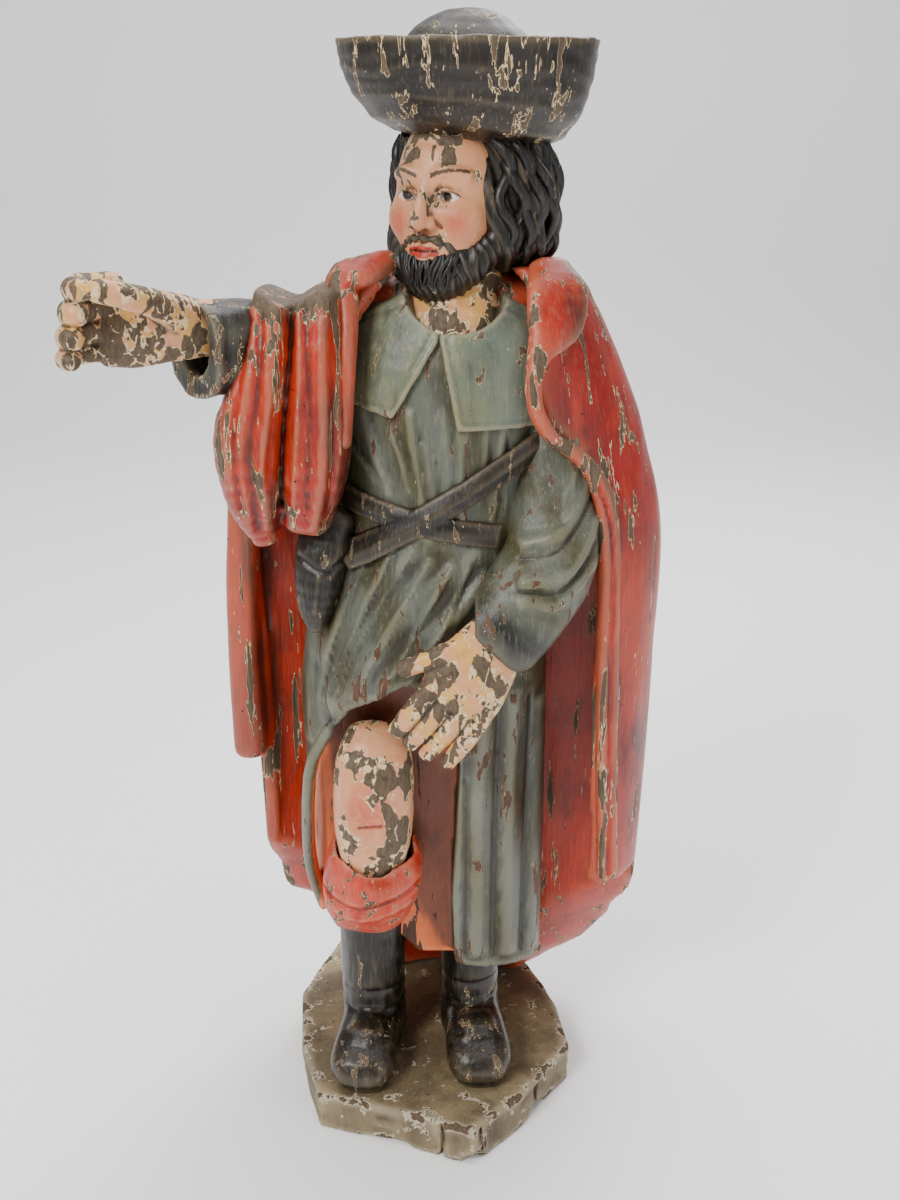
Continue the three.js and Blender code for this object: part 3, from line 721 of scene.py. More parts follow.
wood_finish = worn_paint(
    "base wood", BASE_GREY, loss=0.7, flake=18, tall=0.9, rim=0.06, ground=hue(196, 186, 164), gloss=0.6,
    wash=hue(158, 142, 112), sheen=0.5, edge_wear=0.09, nicks=0.76,
)

NECK_OPENING = ((5, -60, 806), (46, 46, 58))  # middle and half sizes of the collar's opening

# The tunic.
TUNIC_ROWS = [
    [110, -22, -6, 112, 70],
    [220, -23, -8, 114, 80],
    [350, -24, -8, 114, 94],
    [440, -24, -8, 113, 105],
    [500, -19, -6, 109, 104],
    [600, -6, -2, 98, 95],
    [660, 0, -1, 102, 93],
    [710, 2, -1, 104, 88],
    [750, 3, -2, 92, 78],
    [776, 2, -4, 68, 62],
    [794, 2, -6, 46, 48],
]
NICHE_OUTLINE = [
    (-112, 60), (-129, 234), (-136, 290), (-134, 335), (-120, 381), (-87, 429),
    (-38, 461), (-12, 452), (9, 377), (5, 289), (2, 231), (8, 60),
]
TUNIC_HEM = [
    (-160, 216), (-127, 204), (-112, 186), (-49, 172), (-30, 152), (8, 152),
    (20, 146), (90, 127), (140, 124), (140, 0), (-160, 0),
]
SKIRT_EDGE = [
    (-108, -88, 408, 5, 8), (-126, -76, 366, 6, 10), (-132, -68, 300, 6, 12),
    (-131, -60, 250, 6, 12), (-122, -54, 205, 5, 8),
]
# Points [x, z] of each carved fold, its half width and its height.
TUNIC_FOLDS = [
    ([(48, 560), (0, 520), (-70, 450)], 15, 3.5),
    ([(20, 574), (-40, 520), (-104, 430)], 15, 3.5),
    ([(-20, 590), (-72, 540), (-118, 470)], 14, 3),
    ([(30, 440), (26, 300), (26, 165)], 14, 5.5),
    ([(58, 440), (56, 300), (56, 158)], 14, 5.5),
    ([(84, 420), (84, 300), (82, 150)], 12, 4),
    ([(43, 440), (41, 300), (41, 155)], 4, -3.5),
    ([(71, 430), (70, 300), (69, 150)], 4, -3.5),
    ([(12, 400), (14, 300), (14, 160)], 3, -2.5),
    ([(-104, 560), (-128, 470), (-132, 380)], 10, 3),
]
FAN_FOLDS = 9  # narrow folds that fan out below the belt
CHEST_FOLDS = 9


def fanned_folds():
    """Narrow folds from the belt down to the lifted hem, and from the collar down to the belt."""
    folds = []
    random = np.random.default_rng(17)
    for i in range(FAN_FOLDS):
        share = i / (FAN_FOLDS - 1)
        top = np.array([66, 546]) * (1 - share) + np.array([-62, 590]) * share
        tip = np.array([-8, 466]) * (1 - share) + np.array([-128, 420]) * share
        top, tip = top + random.uniform(-5, 5, 2), tip + random.uniform(-8, 16, 2)
        middle = (top + tip) / 2 + random.uniform(-12, 2, 2)
        folds.append(([top, middle, tip], random.uniform(4, 9), random.uniform(1.6, 3.6)))
        folds.append(([top + 7, middle + (6, 7), tip + (5, 8)], random.uniform(1.6, 3), -2.4))
    for i in range(CHEST_FOLDS):
        x = -88 + 134 * (i + random.uniform(-0.3, 0.3)) / (CHEST_FOLDS - 1)
        high, low = random.uniform(664, 696), 604 - 0.18 * x + random.uniform(-4, 24)
        path = [(x, high), (x * 0.86 + random.uniform(-3, 5), 650), (x * 0.72 + 2, low)]
        folds.append((path, random.uniform(4, 9), random.uniform(1.2, 3.4)))
        folds.append(([(u + 6, v) for u, v in path], random.uniform(1.4, 2.8), random.uniform(-3, -1)))
    return folds


def tunic():
    block = Block((-140, -116, 112), (112, 100, 796), 2.7)
    x, y, z = block.axes
    block.add(column(block, TUNIC_ROWS))
    block.raise_by(ridges(block, TUNIC_FOLDS + fanned_folds()) * rise(y, -10, -40))
    gouged(block, (16, 16, 60), 1.3, 3)
    block.cut(ovoid(block, *NECK_OPENING), 1)
    block.cut(sawn(block, NICHE_OUTLINE, -200, NICHE_BACK_Y), 2)
    block.add(limb(block, SKIRT_EDGE, (1, 0, 0), steps=10), 4)
    block.cut(sawn(block, TUNIC_HEM, -200, 200), 2)

    def paint(p, n):
        x, y, z = p.T
        colour = washed(OLIVE, BLUE_GREY, 0.5 + 0.5 * np.sin(x / 9 + z / 31))
        # painted shade: the lower right of the skirt, away from the key light, darkened towards slate
        colour = washed(colour, SLATE, rise(x, 20, 90) * rise(z, 430, 380) * 0.5)
        inside = outline_distance(NICHE_OUTLINE, x, z) < -1.5
        lining = inside & (y > NICHE_BACK_Y - 6) | inside & (np.abs(n[:, 1]) < 0.5)
        # the niche's lining, painted lighter than the lining elsewhere as painted light against its shade
        return washed(colour, NICHE_LIT_RED, lining)

    return carve("tunic", block, tunic_paint, paint)


LEFT_SLEEVE = [
    (90, -32, 738, 30, 26), (86, -46, 676, 32, 31), (86, -58, 616, 38, 36),
    (84, -76, 566, 42, 40), (64, -98, 534, 41, 34), (43, -114, 509, 38, 26),
]
SLEEVE_FOLDS = [
    ([(118, 640), (96, 600), (60, 588)], 9, 3.5),
    ([(124, 600), (100, 566), (60, 560)], 9, 3.5),
    ([(122, 566), (92, 540), (58, 545)], 8, 3),
    ([(108, 700), (104, 650), (98, 610)], 9, 3),
    ([(120, 620), (92, 584), (58, 574)], 3.5, -3),
    ([(122, 582), (96, 552), (58, 552)], 3.5, -3),
]


def left_sleeve():
    block = Block((24, -146, 480), (140, 10, 770), 2.0)
    x, y, z = block.axes
    block.add(limb(block, LEFT_SLEEVE, (1, 0.1, -0.35), steps=18))
    block.raise_by(ridges(block, SLEEVE_FOLDS) * rise(y, -30, -60))
    gouged(block, (16, 16, 30), 1.5, 5)
    mouth = (0.62, 0.42, 0.66)
    past = (30 - x) * mouth[0] + (-128 - y) * mouth[1] + (501 - z) * mouth[2]
    block.cut((EVERYWHERE, -past.astype(np.float32) + 0 * block.field), 2)

    def paint(p, n):
        x, _, z = p.T
        colour = washed(OLIVE, BLUE_GREY, 0.4 + 0.4 * np.sin(z / 12 + x / 8))
        near_cuff = rise(x * 0.55 + z * 0.83, 480, 455)
        return washed(colour, SLATE, near_cuff)

    return carve("left_sleeve", block, tunic_paint, paint)


# The collar, strap, belt and pouch.
COLLAR_LEFT = [(-30, 786), (-96, 760), (-90, 698), (-47, 687), (-9, 751), (-6, 770)]
COLLAR_RIGHT = [(-8, 772), (-8, 750), (6, 680), (84, 680), (92, 760), (34, 786)]
STRAP_ENDS = [(104, 682), (-92, 564)]
BELT_ENDS = [(-108, 619), (42, 588)]


def collar():
    block = Block((-98, -108, 676), (96, 20, 792), 1.7)
    for outline, raised in ((COLLAR_LEFT, 6.5), (COLLAR_RIGHT, 7.5)):
        part = block.emptied()
        part.add(column(part, TUNIC_ROWS, raised, low=600, high=790))
        part.cut(column(part, TUNIC_ROWS, -4, low=500, high=900))
        hem = outline_distance(outline, part.axes[0], part.axes[2])
        part.raise_by(-1.5 * bell(hem, -6.5, 1.6))
        part.keep(sawn(part, outline, -200, 20), 2.5)
        block.add((EVERYWHERE, part.field), 1)
    block.add(ovoid(block, (2, -10, 778), (60, 58, 9)), 4)
    block.cut(ovoid(block, *NECK_OPENING), 2)
    gouged(block, (14, 14, 22), 1.2, 7)
    return carve("collar", block, collar_paint)


def band(block, ends, half, raised, crown):
    """A band laid on the tunic between two [x, z] points, thicker along its middle."""
    (x0, z0), (x1, z1) = ends
    x, y, z = block.axes
    length = math.hypot(x1 - x0, z1 - z0)
    ux, uz = (x1 - x0) / length, (z1 - z0) / length
    side = np.abs((z - z0) * ux - (x - x0) * uz)
    along = (x - x0) * ux + (z - z0) * uz
    lift = raised + crown * (1 - np.clip(side / half, 0, 1))
    _, field = column(block, TUNIC_ROWS, lift, low=400, high=800)
    edge = np.maximum(side - half, np.maximum(-along, along - length))
    return EVERYWHERE, np.maximum(np.maximum(field, edge), y + 0.0)


def strap_and_belt():
    block = Block((-116, -120, 548), (112, 0, 696), 1.7)
    block.add(band(block, BELT_ENDS, 10, 5.5, 2.5))
    block.add(band(block, STRAP_ENDS, 11, 7, 4))
    gouged(block, (26, 20, 12), 0.8, 9)
    return carve("strap_and_belt", block, leather_paint)


def pouch():
    block = Block((-136, -96, 496), (-78, -36, 616), 1.5)
    stations = [
        (-104, -62, 592, 23, 16), (-110, -66, 560, 23, 20), (-115, -70, 526, 17, 16), (-116, -72, 504, 9, 9),
    ]
    block.add(limb(block, stations, (1, -0.4, 0), steps=10, blunt=2.6))
    strokes = [([(-128, 566), (-108, 556), (-88, 566)], 4, -2), ([(-112, 550), (-116, 520)], 4, 2)]
    block.raise_by(ridges(block, strokes))
    gouged(block, (10, 10, 18), 1.0, 11)
    return carve("pouch", block, leather_paint)


# The cloak.
CLOAK_ROWS = [
    [GROUND, 0, 4, 178, 102],
    [120, 1, 3, 182, 105],
    [211, 1, 2, 183, 107],
    [313, 2, 0, 185, 107],
    [450, 2, 0, 187, 106],
    [594, 1, 0, 186, 104],
    [640, 1, 0, 174, 100],
    [685, 4, 0, 158, 97],
    [733, 5, 0, 137, 90],
    [770, 6, -2, 118, 79],
    [795, 7, -4, 98, 64],
    [804, 7, -6, 78, 52],
]
# Heights with the angles of the right and the left front edge, in degrees.
CLOAK_EDGES = [
    [GROUND, -2, 182],
    [225, -3, 184],
    [232, -39, 184],
    [450, -43, 186],
    [594, -44, 190],
    [631, -46, 196],
    [655, -52, 200],
    [679, -61, 206],
    [725, -64, 214],
    [744, -60, 220],
    [804, -50, 230],
]
# Angles round the cloak with the height of its hem.
CLOAK_HEM = [
    [-3, 206], [8, 172], [26, 124], [40, 80], [54, 48], [66, GROUND],
    [112, GROUND], [137, 128], [155, 158], [168, 206], [184, 246],
]


def cloak_angle(x, y, z):
    """Angle round the cloak in degrees, from -90 over the right side and the back to 270."""
    cx, cy, rx, ry = rows_at(CLOAK_ROWS, z)
    angle = np.degrees(np.arctan2((y - cy) / ry, (x - cx) / rx))
    return np.where(angle < -90, angle + 360, angle)


def cloak():
    block = Block((-208, -112, GROUND), (194, 116, 806), 4.0)
    x, y, z = block.axes
    cx, cy, rx, ry = rows_at(CLOAK_ROWS, z)
    angle = cloak_angle(x, y, z).astype(np.float32)
    sin = np.sin(np.radians(angle))
    back = rise(sin, -0.2, 0.5) * rise(z, 780, 600)
    fold = back * (
        np.cos(np.radians(angle) * 9 + 0.6) * 5 + np.cos(np.radians(angle) * 17 - z / 130) * 2
    )
    outer = column(block, CLOAK_ROWS, fold, low=GROUND, high=804)[1]
    inner = column(block, CLOAK_ROWS, -CLOAK_WALL, low=0, high=900)[1]
    across = np.clip((x - cx) / (rx - CLOAK_WALL), -1, 1)
    depth = np.sqrt(1 - across**2)
    heel = 62 * rise(depth, 0.8, 1) * rise(z, 200, 120)
    hollow_y = -8 * rise(depth, 0, 0.2) + 28 * depth + heel
    gouges = 1.8 * np.abs(lumps(block, (15, 60, 90), 21))
    hollow = np.maximum(inner, y - hollow_y - gouges)
    field = -least(-outer, hollow, 4)
    from_angle, to_angle = straight_at(CLOAK_EDGES, z)
    radius = np.sqrt((x - cx) ** 2 + (y - cy) ** 2)
    edge = np.radians(np.maximum(from_angle - angle, angle - to_angle)) * radius
    (hem,) = straight_at(CLOAK_HEM, angle)
    field = -least(-field, -edge, 4)
    field = -least(-field, z - hem, 4)
    block.add((EVERYWHERE, field.astype(np.float32)))
    block.add(ovoid(block, (6, 7, 773), (98, 60, 29)), 12)
    block.add(limb(block, LEFT_PANEL, (1, 0, 0), steps=6, blunt=3), 6)
    block.cut(ovoid(block, *NECK_OPENING), 2)
    gouged(block, (22, 22, 90), 1.6, 23)
    block.field = np.maximum(block.field, GROUND - z)

    def paint(p, n):
        x, y, z = p.T
        colour = washed(RED, DEEP_RED, 0.5 + 0.5 * np.sin(x / 23 + z / 60))
        cx, cy, rx, ry = rows_at(CLOAK_ROWS, z)
        k = np.sqrt(((x - cx) / rx) ** 2 + ((y - cy) / ry) ** 2)
        return washed(colour, LINING, (k < 0.97) & (n[:, 1] < 0.2))

    return carve("cloak", block, cloak_paint, paint, passes=8)


RIGHT_EDGE = [
    (82, -40, 802, 19, 9), (87, -56, 786, 26, 10), (84, -70, 762, 24, 9), (73, -82, 742, 11, 9),
    (67, -90, 722, 7, 9), (69, -92, 698, 6, 9), (82, -88, 674, 6, 9), (106, -80, 655, 7, 9),
    (126, -74, 626, 9, 9), (135, -72, 580, 10, 9), (140, -70, 440, 10, 9), (148, -66, 250, 10, 9),
]
LEFT_EDGE = [
    (-52, -38, 808, 12, 9), (-70, -52, 802, 18, 10), (-86, -60, 794, 15, 10),
    (-82, -76, 768, 9, 9), (-83, -88, 730, 8, 9), (-88, -94, 672, 8, 9),
]
LEFT_PANEL = [
    (-182, -14, 620, 14, 16), (-188, -14, 540, 14, 18), (-191, -14, 450, 14, 18), (-190, -14, 360, 15, 16),
]
OUTER_FOLD = [
    (-137, -60, 784, 19, 36), (-142, -68, 756, 20, 46), (-150, -74, 717, 24, 50), (-162, -74, 676, 30, 50),
    (-162, -72, 642, 28, 46), (-161, -72, 616, 21, 38), (-157, -74, 588, 11, 20),
]
INNER_FOLD = [
    (-104, -48, 788, 19, 36), (-106, -60, 756, 21, 46), (-108, -66, 717, 24, 48), (-110, -68, 676, 28, 46),
    (-114, -70, 642, 28, 42), (-119, -74, 608, 21, 28),
]


# The red of the drape and cloak edges, with painted shade and painted highlight by which way each face turns,
# and rubbed paint where it is worn.
def red_paint(p, n):
    x, _, z = p.T
    # painted shade: faces turned to the right, away from the key light, darkened towards deep red
    colour = washed(RED, DEEP_RED, rise(n[:, 0], 0.2, 0.9) * (x < 0) + rise(n[:, 0], 0.1, 0.6) * (x > 90))
    colour = washed(colour, LINING, (x > 50) * rise(n[:, 0], 0.2, -0.3))
    # painted highlight: drape faces turned to the left, towards the key light, lightened to pink
    colour = washed(colour, PINK_RED, rise(n[:, 0], -0.2, -0.8) * (x < 0) * bell(z, 715, 55))
    # painted shade: drape faces turned back, away from the front light, darkened towards deep red
    colour = washed(colour, DEEP_RED, (x < 0) * rise(n[:, 1], -0.3, 0.3) * 0.6)
    worn_top = rise(z, 768, 786) * (x < -88) + bell(np.hypot(x - 116, z - 646), 0, 16)
    return rubbed(colour, worn_top * 0.7)


def drape():
    block = Block((-198, -128, 574), (-76, 20, 816), 2.0)
    block.add(limb(block, OUTER_FOLD, (1, 0, 0), steps=16, blunt=3))
    block.add(limb(block, INNER_FOLD, (1, 0, 0), steps=14, blunt=3), 9)
    strokes = [
        ([(-124, 792), (-128, 740), (-134, 690), (-140, 620)], 5, -4),
        ([(-146, 780), (-151, 720), (-160, 665), (-158, 600)], 6, -3.5),
        ([(-140, 780), (-142, 720), (-149, 665), (-150, 600)], 6, 2.5),
        ([(-166, 740), (-178, 690), (-176, 640)], 9, 2),
        ([(-100, 770), (-101, 700), (-104, 640), (-112, 600)], 7, 3),
        ([(-112, 780), (-112, 700), (-117, 620)], 4, -2.5),
        ([(-133, 786), (-137, 730), (-146, 680), (-152, 640)], 4, 2.5),
        ([(-155, 770), (-166, 716), (-172, 670), (-170, 620)], 4, -3),
        ([(-92, 780), (-92, 720), (-94, 660), (-100, 620)], 4, -3),
        ([(-119, 786), (-119, 730), (-123, 680), (-128, 620)], 4, 2.5),
    ]
    block.raise_by(ridges(block, strokes))
    gouged(block, (14, 16, 60), 1.4, 31)
    x, _, z = block.axes
    top = DRAPE_TOP + 5 * np.sin(x / 9)
    block.field = -least(-block.field, top - z, 3)
    return carve("drape", block, drape_paint, red_paint)


def cloak_edges():
    block = Block((48, -112, 240), (172, -20, 818), 2.2)
    block.add(limb(block, RIGHT_EDGE, (1, 0.4, 0), steps=36, blunt=2.4))
    strokes = [([(118, 645), (138, 580), (142, 440), (149, 250)], 3, -3)]
    block.raise_by(ridges(block, strokes))
    gouged(block, (14, 16, 50), 1.0, 33)
    carve("cloak_right_edge", block, drape_paint, red_paint)
    block = Block((-108, -110, 660), (-36, -20, 824), 1.8)
    block.add(limb(block, LEFT_EDGE, (1, -0.2, 0), steps=18))
    gouged(block, (12, 14, 40), 0.9, 35)
    carve("cloak_left_edge", block, drape_paint, red_paint)


# The head. Places are in its own frame: x to its left, -y out of the face, z up from the chin.
EYE_X, EYE_Y, EYE_Z = 18.4, -45, 72
EYE_HALF = 9.4


def face_side(block, side):
    """One side of the face: socket, lids, eyeball, brow, cheek and nostril."""
    s = side
    block.cut(ovoid(block, (s * EYE_X, EYE_Y - 13, EYE_Z), (13, 10, 9)), 6)
    block.add(ovoid(block, (s * EYE_X, EYE_Y + 3, EYE_Z), (10.5, 9, 8.6)), 1)
    upper = [(s * 8.5, -49, 71), (s * 13, -54, 76), (s * 20, -53, 77), (s * 29, -44, 70)]
    lower = [(s * 9, -49, 70.5), (s * 15, -52.5, 66.5), (s * 22, -50, 66.5), (s * 28.5, -44, 69.5)]
    block.add(limb(block, [(*p, 1.5, 1.8) for p in upper], steps=12), 1.5)
    block.add(limb(block, [(*p, 1.1, 1.3) for p in lower], steps=12), 1.5)
    crease = [(s * 9, -52, 77), (s * 17, -55, 82), (s * 29, -46, 77)]
    block.cut(limb(block, [(*p, 1.1) for p in crease], steps=10), 1.5)
    brow = [(s * 7, -54, 86), (s * 17, -54.5, 92), (s * 32, -42, 88)]
    block.add(limb(block, [(*p, 3.4, 2.6) for p in brow], steps=10), 6)
    block.add(ovoid(block, (s * 26, -38, 54), (14, 13, 13)), 14)
    block.add(ovoid(block, (s * 7, -60, 52.5), (5, 6, 5)), 3)
    block.cut(ovoid(block, (s * 4.2, -63.5, 48), (2.2, 3.4, 2.4)), 1)
    fold = [(s * 11, -57, 54), (s * 17, -50, 44), (s * 21, -44, 33)]
    block.cut(limb(block, [(*p, 1.3) for p in fold], steps=8), 3)


def head():
    outer = Block((-60, -100, 760), (66, 62, 912), 1.15)
    block = outer.turned(HEAD_AT, HEAD_YAW)
    block.add(ovoid(block, (0, -2, 74), (46, 56, 66)))
    block.add(ovoid(block, (0, -20, 36), (36, 36, 36)), 14)
    block.add(limb(block, [(0, 12, -16, 36, 33), (0, 8, 20, 37, 35)], (1, 0, 0), steps=3), 5)
    bridge = [(0, -49, 88, 5, 6), (0, -58, 68, 5.5, 8), (0, -66, 54, 7.5, 7)]
    block.add(limb(block, bridge, (1, 0, 0), steps=8), 4)
    block.add(ovoid(block, (0, -67, 53), (6.5, 7, 5.5)), 3)
    face_side(block, -1)
    face_side(block, 1)
    block.add(ovoid(block, (0, -46, 34), (19, 13, 15)), 8)
    upper = [(-13, -52, 32), (-5, -58, 35.4), (0, -59.5, 34), (5, -58, 35.4), (13, -52, 32)]
    lower = [(-11.5, -52.5, 28.5), (0, -58.5, 25.8), (11.5, -52.5, 28.5)]
    parting = [(-14, -52, 30.6), (-5, -59.6, 31.6), (0, -61, 30.6), (5, -59.6, 31.6), (14, -52, 30.6)]
    block.add(limb(block, [(*p, 2.6, 2.6) for p in upper], steps=16), 2)
    block.add(limb(block, [(*p, 3.2, 2.8) for p in lower], steps=12), 2)
    block.cut(limb(block, [(*p, 0.9) for p in parting], steps=16), 1)
    block.cut(limb(block, [(0, -62, 45, 1.6), (0, -60, 38, 1.9)], steps=4), 2)
    block.raise_by(-1.2 * bell(block.axes[0], 0, 30) * bell(block.axes[2], 112, 3) * (block.axes[1] < 0))
    outer.raise_by(0.25 * (0.4 - np.abs(lumps(outer, (9, 9, 12), 41))))

    def paint(p, n):
        yaw = math.radians(HEAD_YAW)
        dx, dy, dz = p[:, 0] - HEAD_AT[0], p[:, 1] - HEAD_AT[1], p[:, 2] - HEAD_AT[2]
        x, y = dx * math.cos(yaw) + dy * math.sin(yaw), dy * math.cos(yaw) - dx * math.sin(yaw)
        front = y < -20
        side = np.abs(x)
        colour = washed(FLESH + 0 * p, ROSE, 0.75 * bell(side, 26, 11) * bell(dz, 52, 13) * front)
        colour = washed(colour, ROSE, 0.4 * bell(x, 0, 7) * bell(dz, 52, 8) * front)
        lips = front & (side < 13.5) & (y < -50) & (np.abs(dz - 30.5) < 5.6 - side * 0.22)
        colour = washed(colour, LIP, lips * 0.95)
        colour = washed(colour, DARK_WOOD * 0.4, (lips & (np.abs(dz - 31) < 0.8)) * 0.9)
        arch = 88 + 4.2 * np.sin(np.clip((side - 6) / 28, 0, 1) * 2.5)
        brow = front & (np.abs(dz - arch) < 2.1 - side * 0.03) & (side > 6) & (side < 34)
        colour = washed(colour, HAIR_BLACK, brow * 0.9)
        lid_top = EYE_Z + 4.6 - ((side - EYE_X) / 4.6) ** 2
        lid_low = EYE_Z - 3.4 + ((side - EYE_X) / 5.4) ** 2
        eye = front & (dz < lid_top) & (dz > lid_low) & (np.abs(side - EYE_X) < EYE_HALF) & (y < -44)
        colour = washed(colour, hue(226, 218, 200), eye * 1.0)
        disc = np.hypot(side - EYE_X + 0.6, dz - EYE_Z - 0.6)
        colour = washed(colour, hue(84, 52, 30), eye & (disc < 4.1))
        colour = washed(colour, hue(14, 10, 8), eye & (disc < 2.0))
        lash = front & (np.abs(dz - lid_top - 0.2) < 0.9) & (np.abs(side - EYE_X) < EYE_HALF + 1) & (y < -42)
        colour = washed(colour, HAIR_BLACK, lash * 0.85)
        bare = rise(dz, 92, 102) * rise(x, 34, 16) + 0.35 * bell(side, 0, 6) * bell(dz, 62, 22)
        return rubbed(colour, bare * front * (1 - brow) * (1 - eye) * 0.62)

    return carve("head", outer, face_paint, paint)


def neck():
    """The bare neck, seen in the opening of the collar."""
    block = Block((-50, -84, 736), (60, 40, 812), 1.3)
    stations = [(4, -16, 738, 50, 64), (5, -12, 768, 43, 50), (6, -8, 812, 39, 38)]
    block.add(limb(block, stations, (1, 0, 0), steps=6))
    gouged(block, (13, 13, 17), 2.0, 43)
    return carve("neck", block, neck_paint, bare_hand)


HAIR_ROWS = [
    [10, 10, 24, 40, 30],
    [24, 9, 20, 58, 46],
    [50, 8, 18, 66, 52],
    [80, 8, 18, 66, 52],
    [104, 6, 16, 60, 50],
    [122, 4, 14, 52, 46],
]


def hair():
    outer = Block((-66, -82, 792), (88, 66, 912), 1.5)
    block = outer.turned(HEAD_AT, HEAD_YAW)
    x, y, z = block.axes
    cx, cy, rx, ry = rows_at(HAIR_ROWS, z)
    angle = np.arctan2((y - cy) / ry, (x - cx) / rx)
    wave = np.cos(angle * 10 + z / 16) * 4.0 + np.cos(angle * 31 + z / 7 + 2 * np.sin(z / 9)) * 1.1
    block.add(column(block, HAIR_ROWS, wave))
    block.cut(ovoid(block, (0, -50, 60), (44, 40, 70)), 3)
    return carve("hair", outer, hair_paint)


def beard():
    outer = Block((-60, -100, 770), (60, 10, 872), 1.2)
    block = outer.turned(HEAD_AT, HEAD_YAW)
    block.add(ovoid(block, (0, -31, 12), (31, 29, 26)))
    for s in (-1, 1):
        whisker = [(s * 43, -6, 66, 8, 8), (s * 42, -18, 38, 12, 12), (s * 28, -34, 18, 16, 14)]
        block.add(limb(block, whisker, steps=10), 6)
        lip = [
            (s * 3, -62, 41, 2.6, 3), (s * 12, -56, 39, 3.6, 3.6),
            (s * 22, -47, 31, 3.6, 4), (s * 26, -42, 22, 3, 4),
        ]
        block.add(limb(block, lip, steps=10), 3)
    block.cut(ovoid(block, (0, -62, 30), (15.5, 14, 7)), 3)
    x, y, z = block.axes
    turn = np.arctan2(x, -(y + 4))
    strand = np.cos(turn * 40 + z / 4 + 1.5 * np.sin(z / 5 + turn * 6))
    block.raise_by((0.9 * strand).astype(np.float32))
    return carve("beard", outer, hair_paint)


# The hat.
BRIM_OUTER = [(60, 902), (78, 911), (93, 931), (101, 953), (105, 976)]
BRIM_INNER = [(97, 976), (90, 954), (78, 936), (65, 930), (61, 946)]


def hat():
    block = Block((-95, -103, 898), (123, 95, 1002), 1.9)
    x, y, z = block.axes
    dx, dy = x - HAT_AT[0], (y - HAT_AT[1]) / 0.9
    radius = np.sqrt(dx * dx + dy * dy)
    share = rise(z, 976, 902)
    level = z + 0.12 * share * dx
    dome = [(61 * math.cos(t), 946 + 54 * math.sin(t)) for t in np.radians([15, 30, 45, 60, 75, 90])]
    outline = [(-1, 902), *BRIM_OUTER, *BRIM_INNER, *dome, (-1, 1000)]
    field = outline_distance(outline, radius, level)
    block.add((EVERYWHERE, field.astype(np.float32)))
    turn = np.arctan2(dy, dx)
    rings = 0.35 * np.cos(level / 2.2 + 4 * lumps(block, (40, 40, 20), 51))
    block.raise_by((rings + 0.5 * np.abs(np.cos(turn * 8.5))).astype(np.float32))
    gouged(block, (50, 50, 30), 1.2, 53)
    return carve("round_hat", block, hat_paint, node="hat")


# The bared leg, stocking and boots.
BARE_LEG = [
    (-66, -86, 396, 28, 18), (-68, -92, 372, 35, 30), (-69, -94, 330, 36, 32),
    (-70, -90, 298, 33, 29), (-71, -88, 278, 28, 26), (-72, -84, 240, 26, 24),
]
STOCKING = [
    (-70, -78, 284, 38, 32), (-71, -82, 262, 45, 40), (-76, -84, 240, 42, 38), (-80, -78, 222, 33, 30),
]


def bare_leg():
    block = Block((-108, -130, 236), (-30, -54, 418), 1.7)
    block.add(limb(block, BARE_LEG, (1, 0, 0), steps=16, blunt=2.4))
    block.add(ovoid(block, (-68, -112, 362), (20, 13, 20)), 8)
    strokes = [
        ([(-88, 388), (-90, 350), (-86, 300)], 5, 1.5),
        ([(-62, 336), (-60, 300), (-62, 270)], 7, 1.5),
        ([(-81, 329), (-70, 331), (-59, 333)], 2.2, -2.0),
    ]
    block.raise_by(ridges(block, strokes))
    gouged(block, (12, 12, 22), 0.8, 61)

    def paint(p, n):
        x, y, z = p.T
        colour = washed(FLESH + 0 * p, ROSE, 0.5 * bell(z, 350, 28) * bell(x, -68, 20))
        sore = bell(z, 344, 20) * bell(x, -78, 16) * (y < -90)
        colour = washed(colour, ROSE, 0.7 * sore)
        wound = (np.abs(z - 331 - 0.15 * (x + 68)) < 1.3) & (np.abs(x + 70) < 11) & (y < -100)
        return rubbed(washed(colour, hue(150, 30, 22), wound * 0.8), 0.9 * sore + wound)

    return carve("bare_leg", block, knee_paint, paint)


def stocking():
    block = Block((-120, -128, 214), (-24, -36, 292), 1.7)
    block.add(limb(block, STOCKING, (1, 0, 0), steps=10, blunt=2.3))
    block.cut(limb(block, [(-70, -86, 268, 32, 27), (-69, -92, 304, 37, 34)], (1, 0, 0), steps=3), 1.5)
    strokes = [
        ([(-114, 252), (-80, 243), (-30, 258)], 4, -3.5),
        ([(-110, 240), (-80, 232), (-36, 244)], 5, 2),
    ]
    block.raise_by(ridges(block, strokes))
    gouged(block, (13, 13, 13), 1.8, 63)

    def paint(p, n):
        return washed(ROSE + 0 * p, PINK_RED, 0.6 + 0.4 * np.sin(p[:, 0] / 7))

    return carve("stocking", block, stocking_paint, paint)


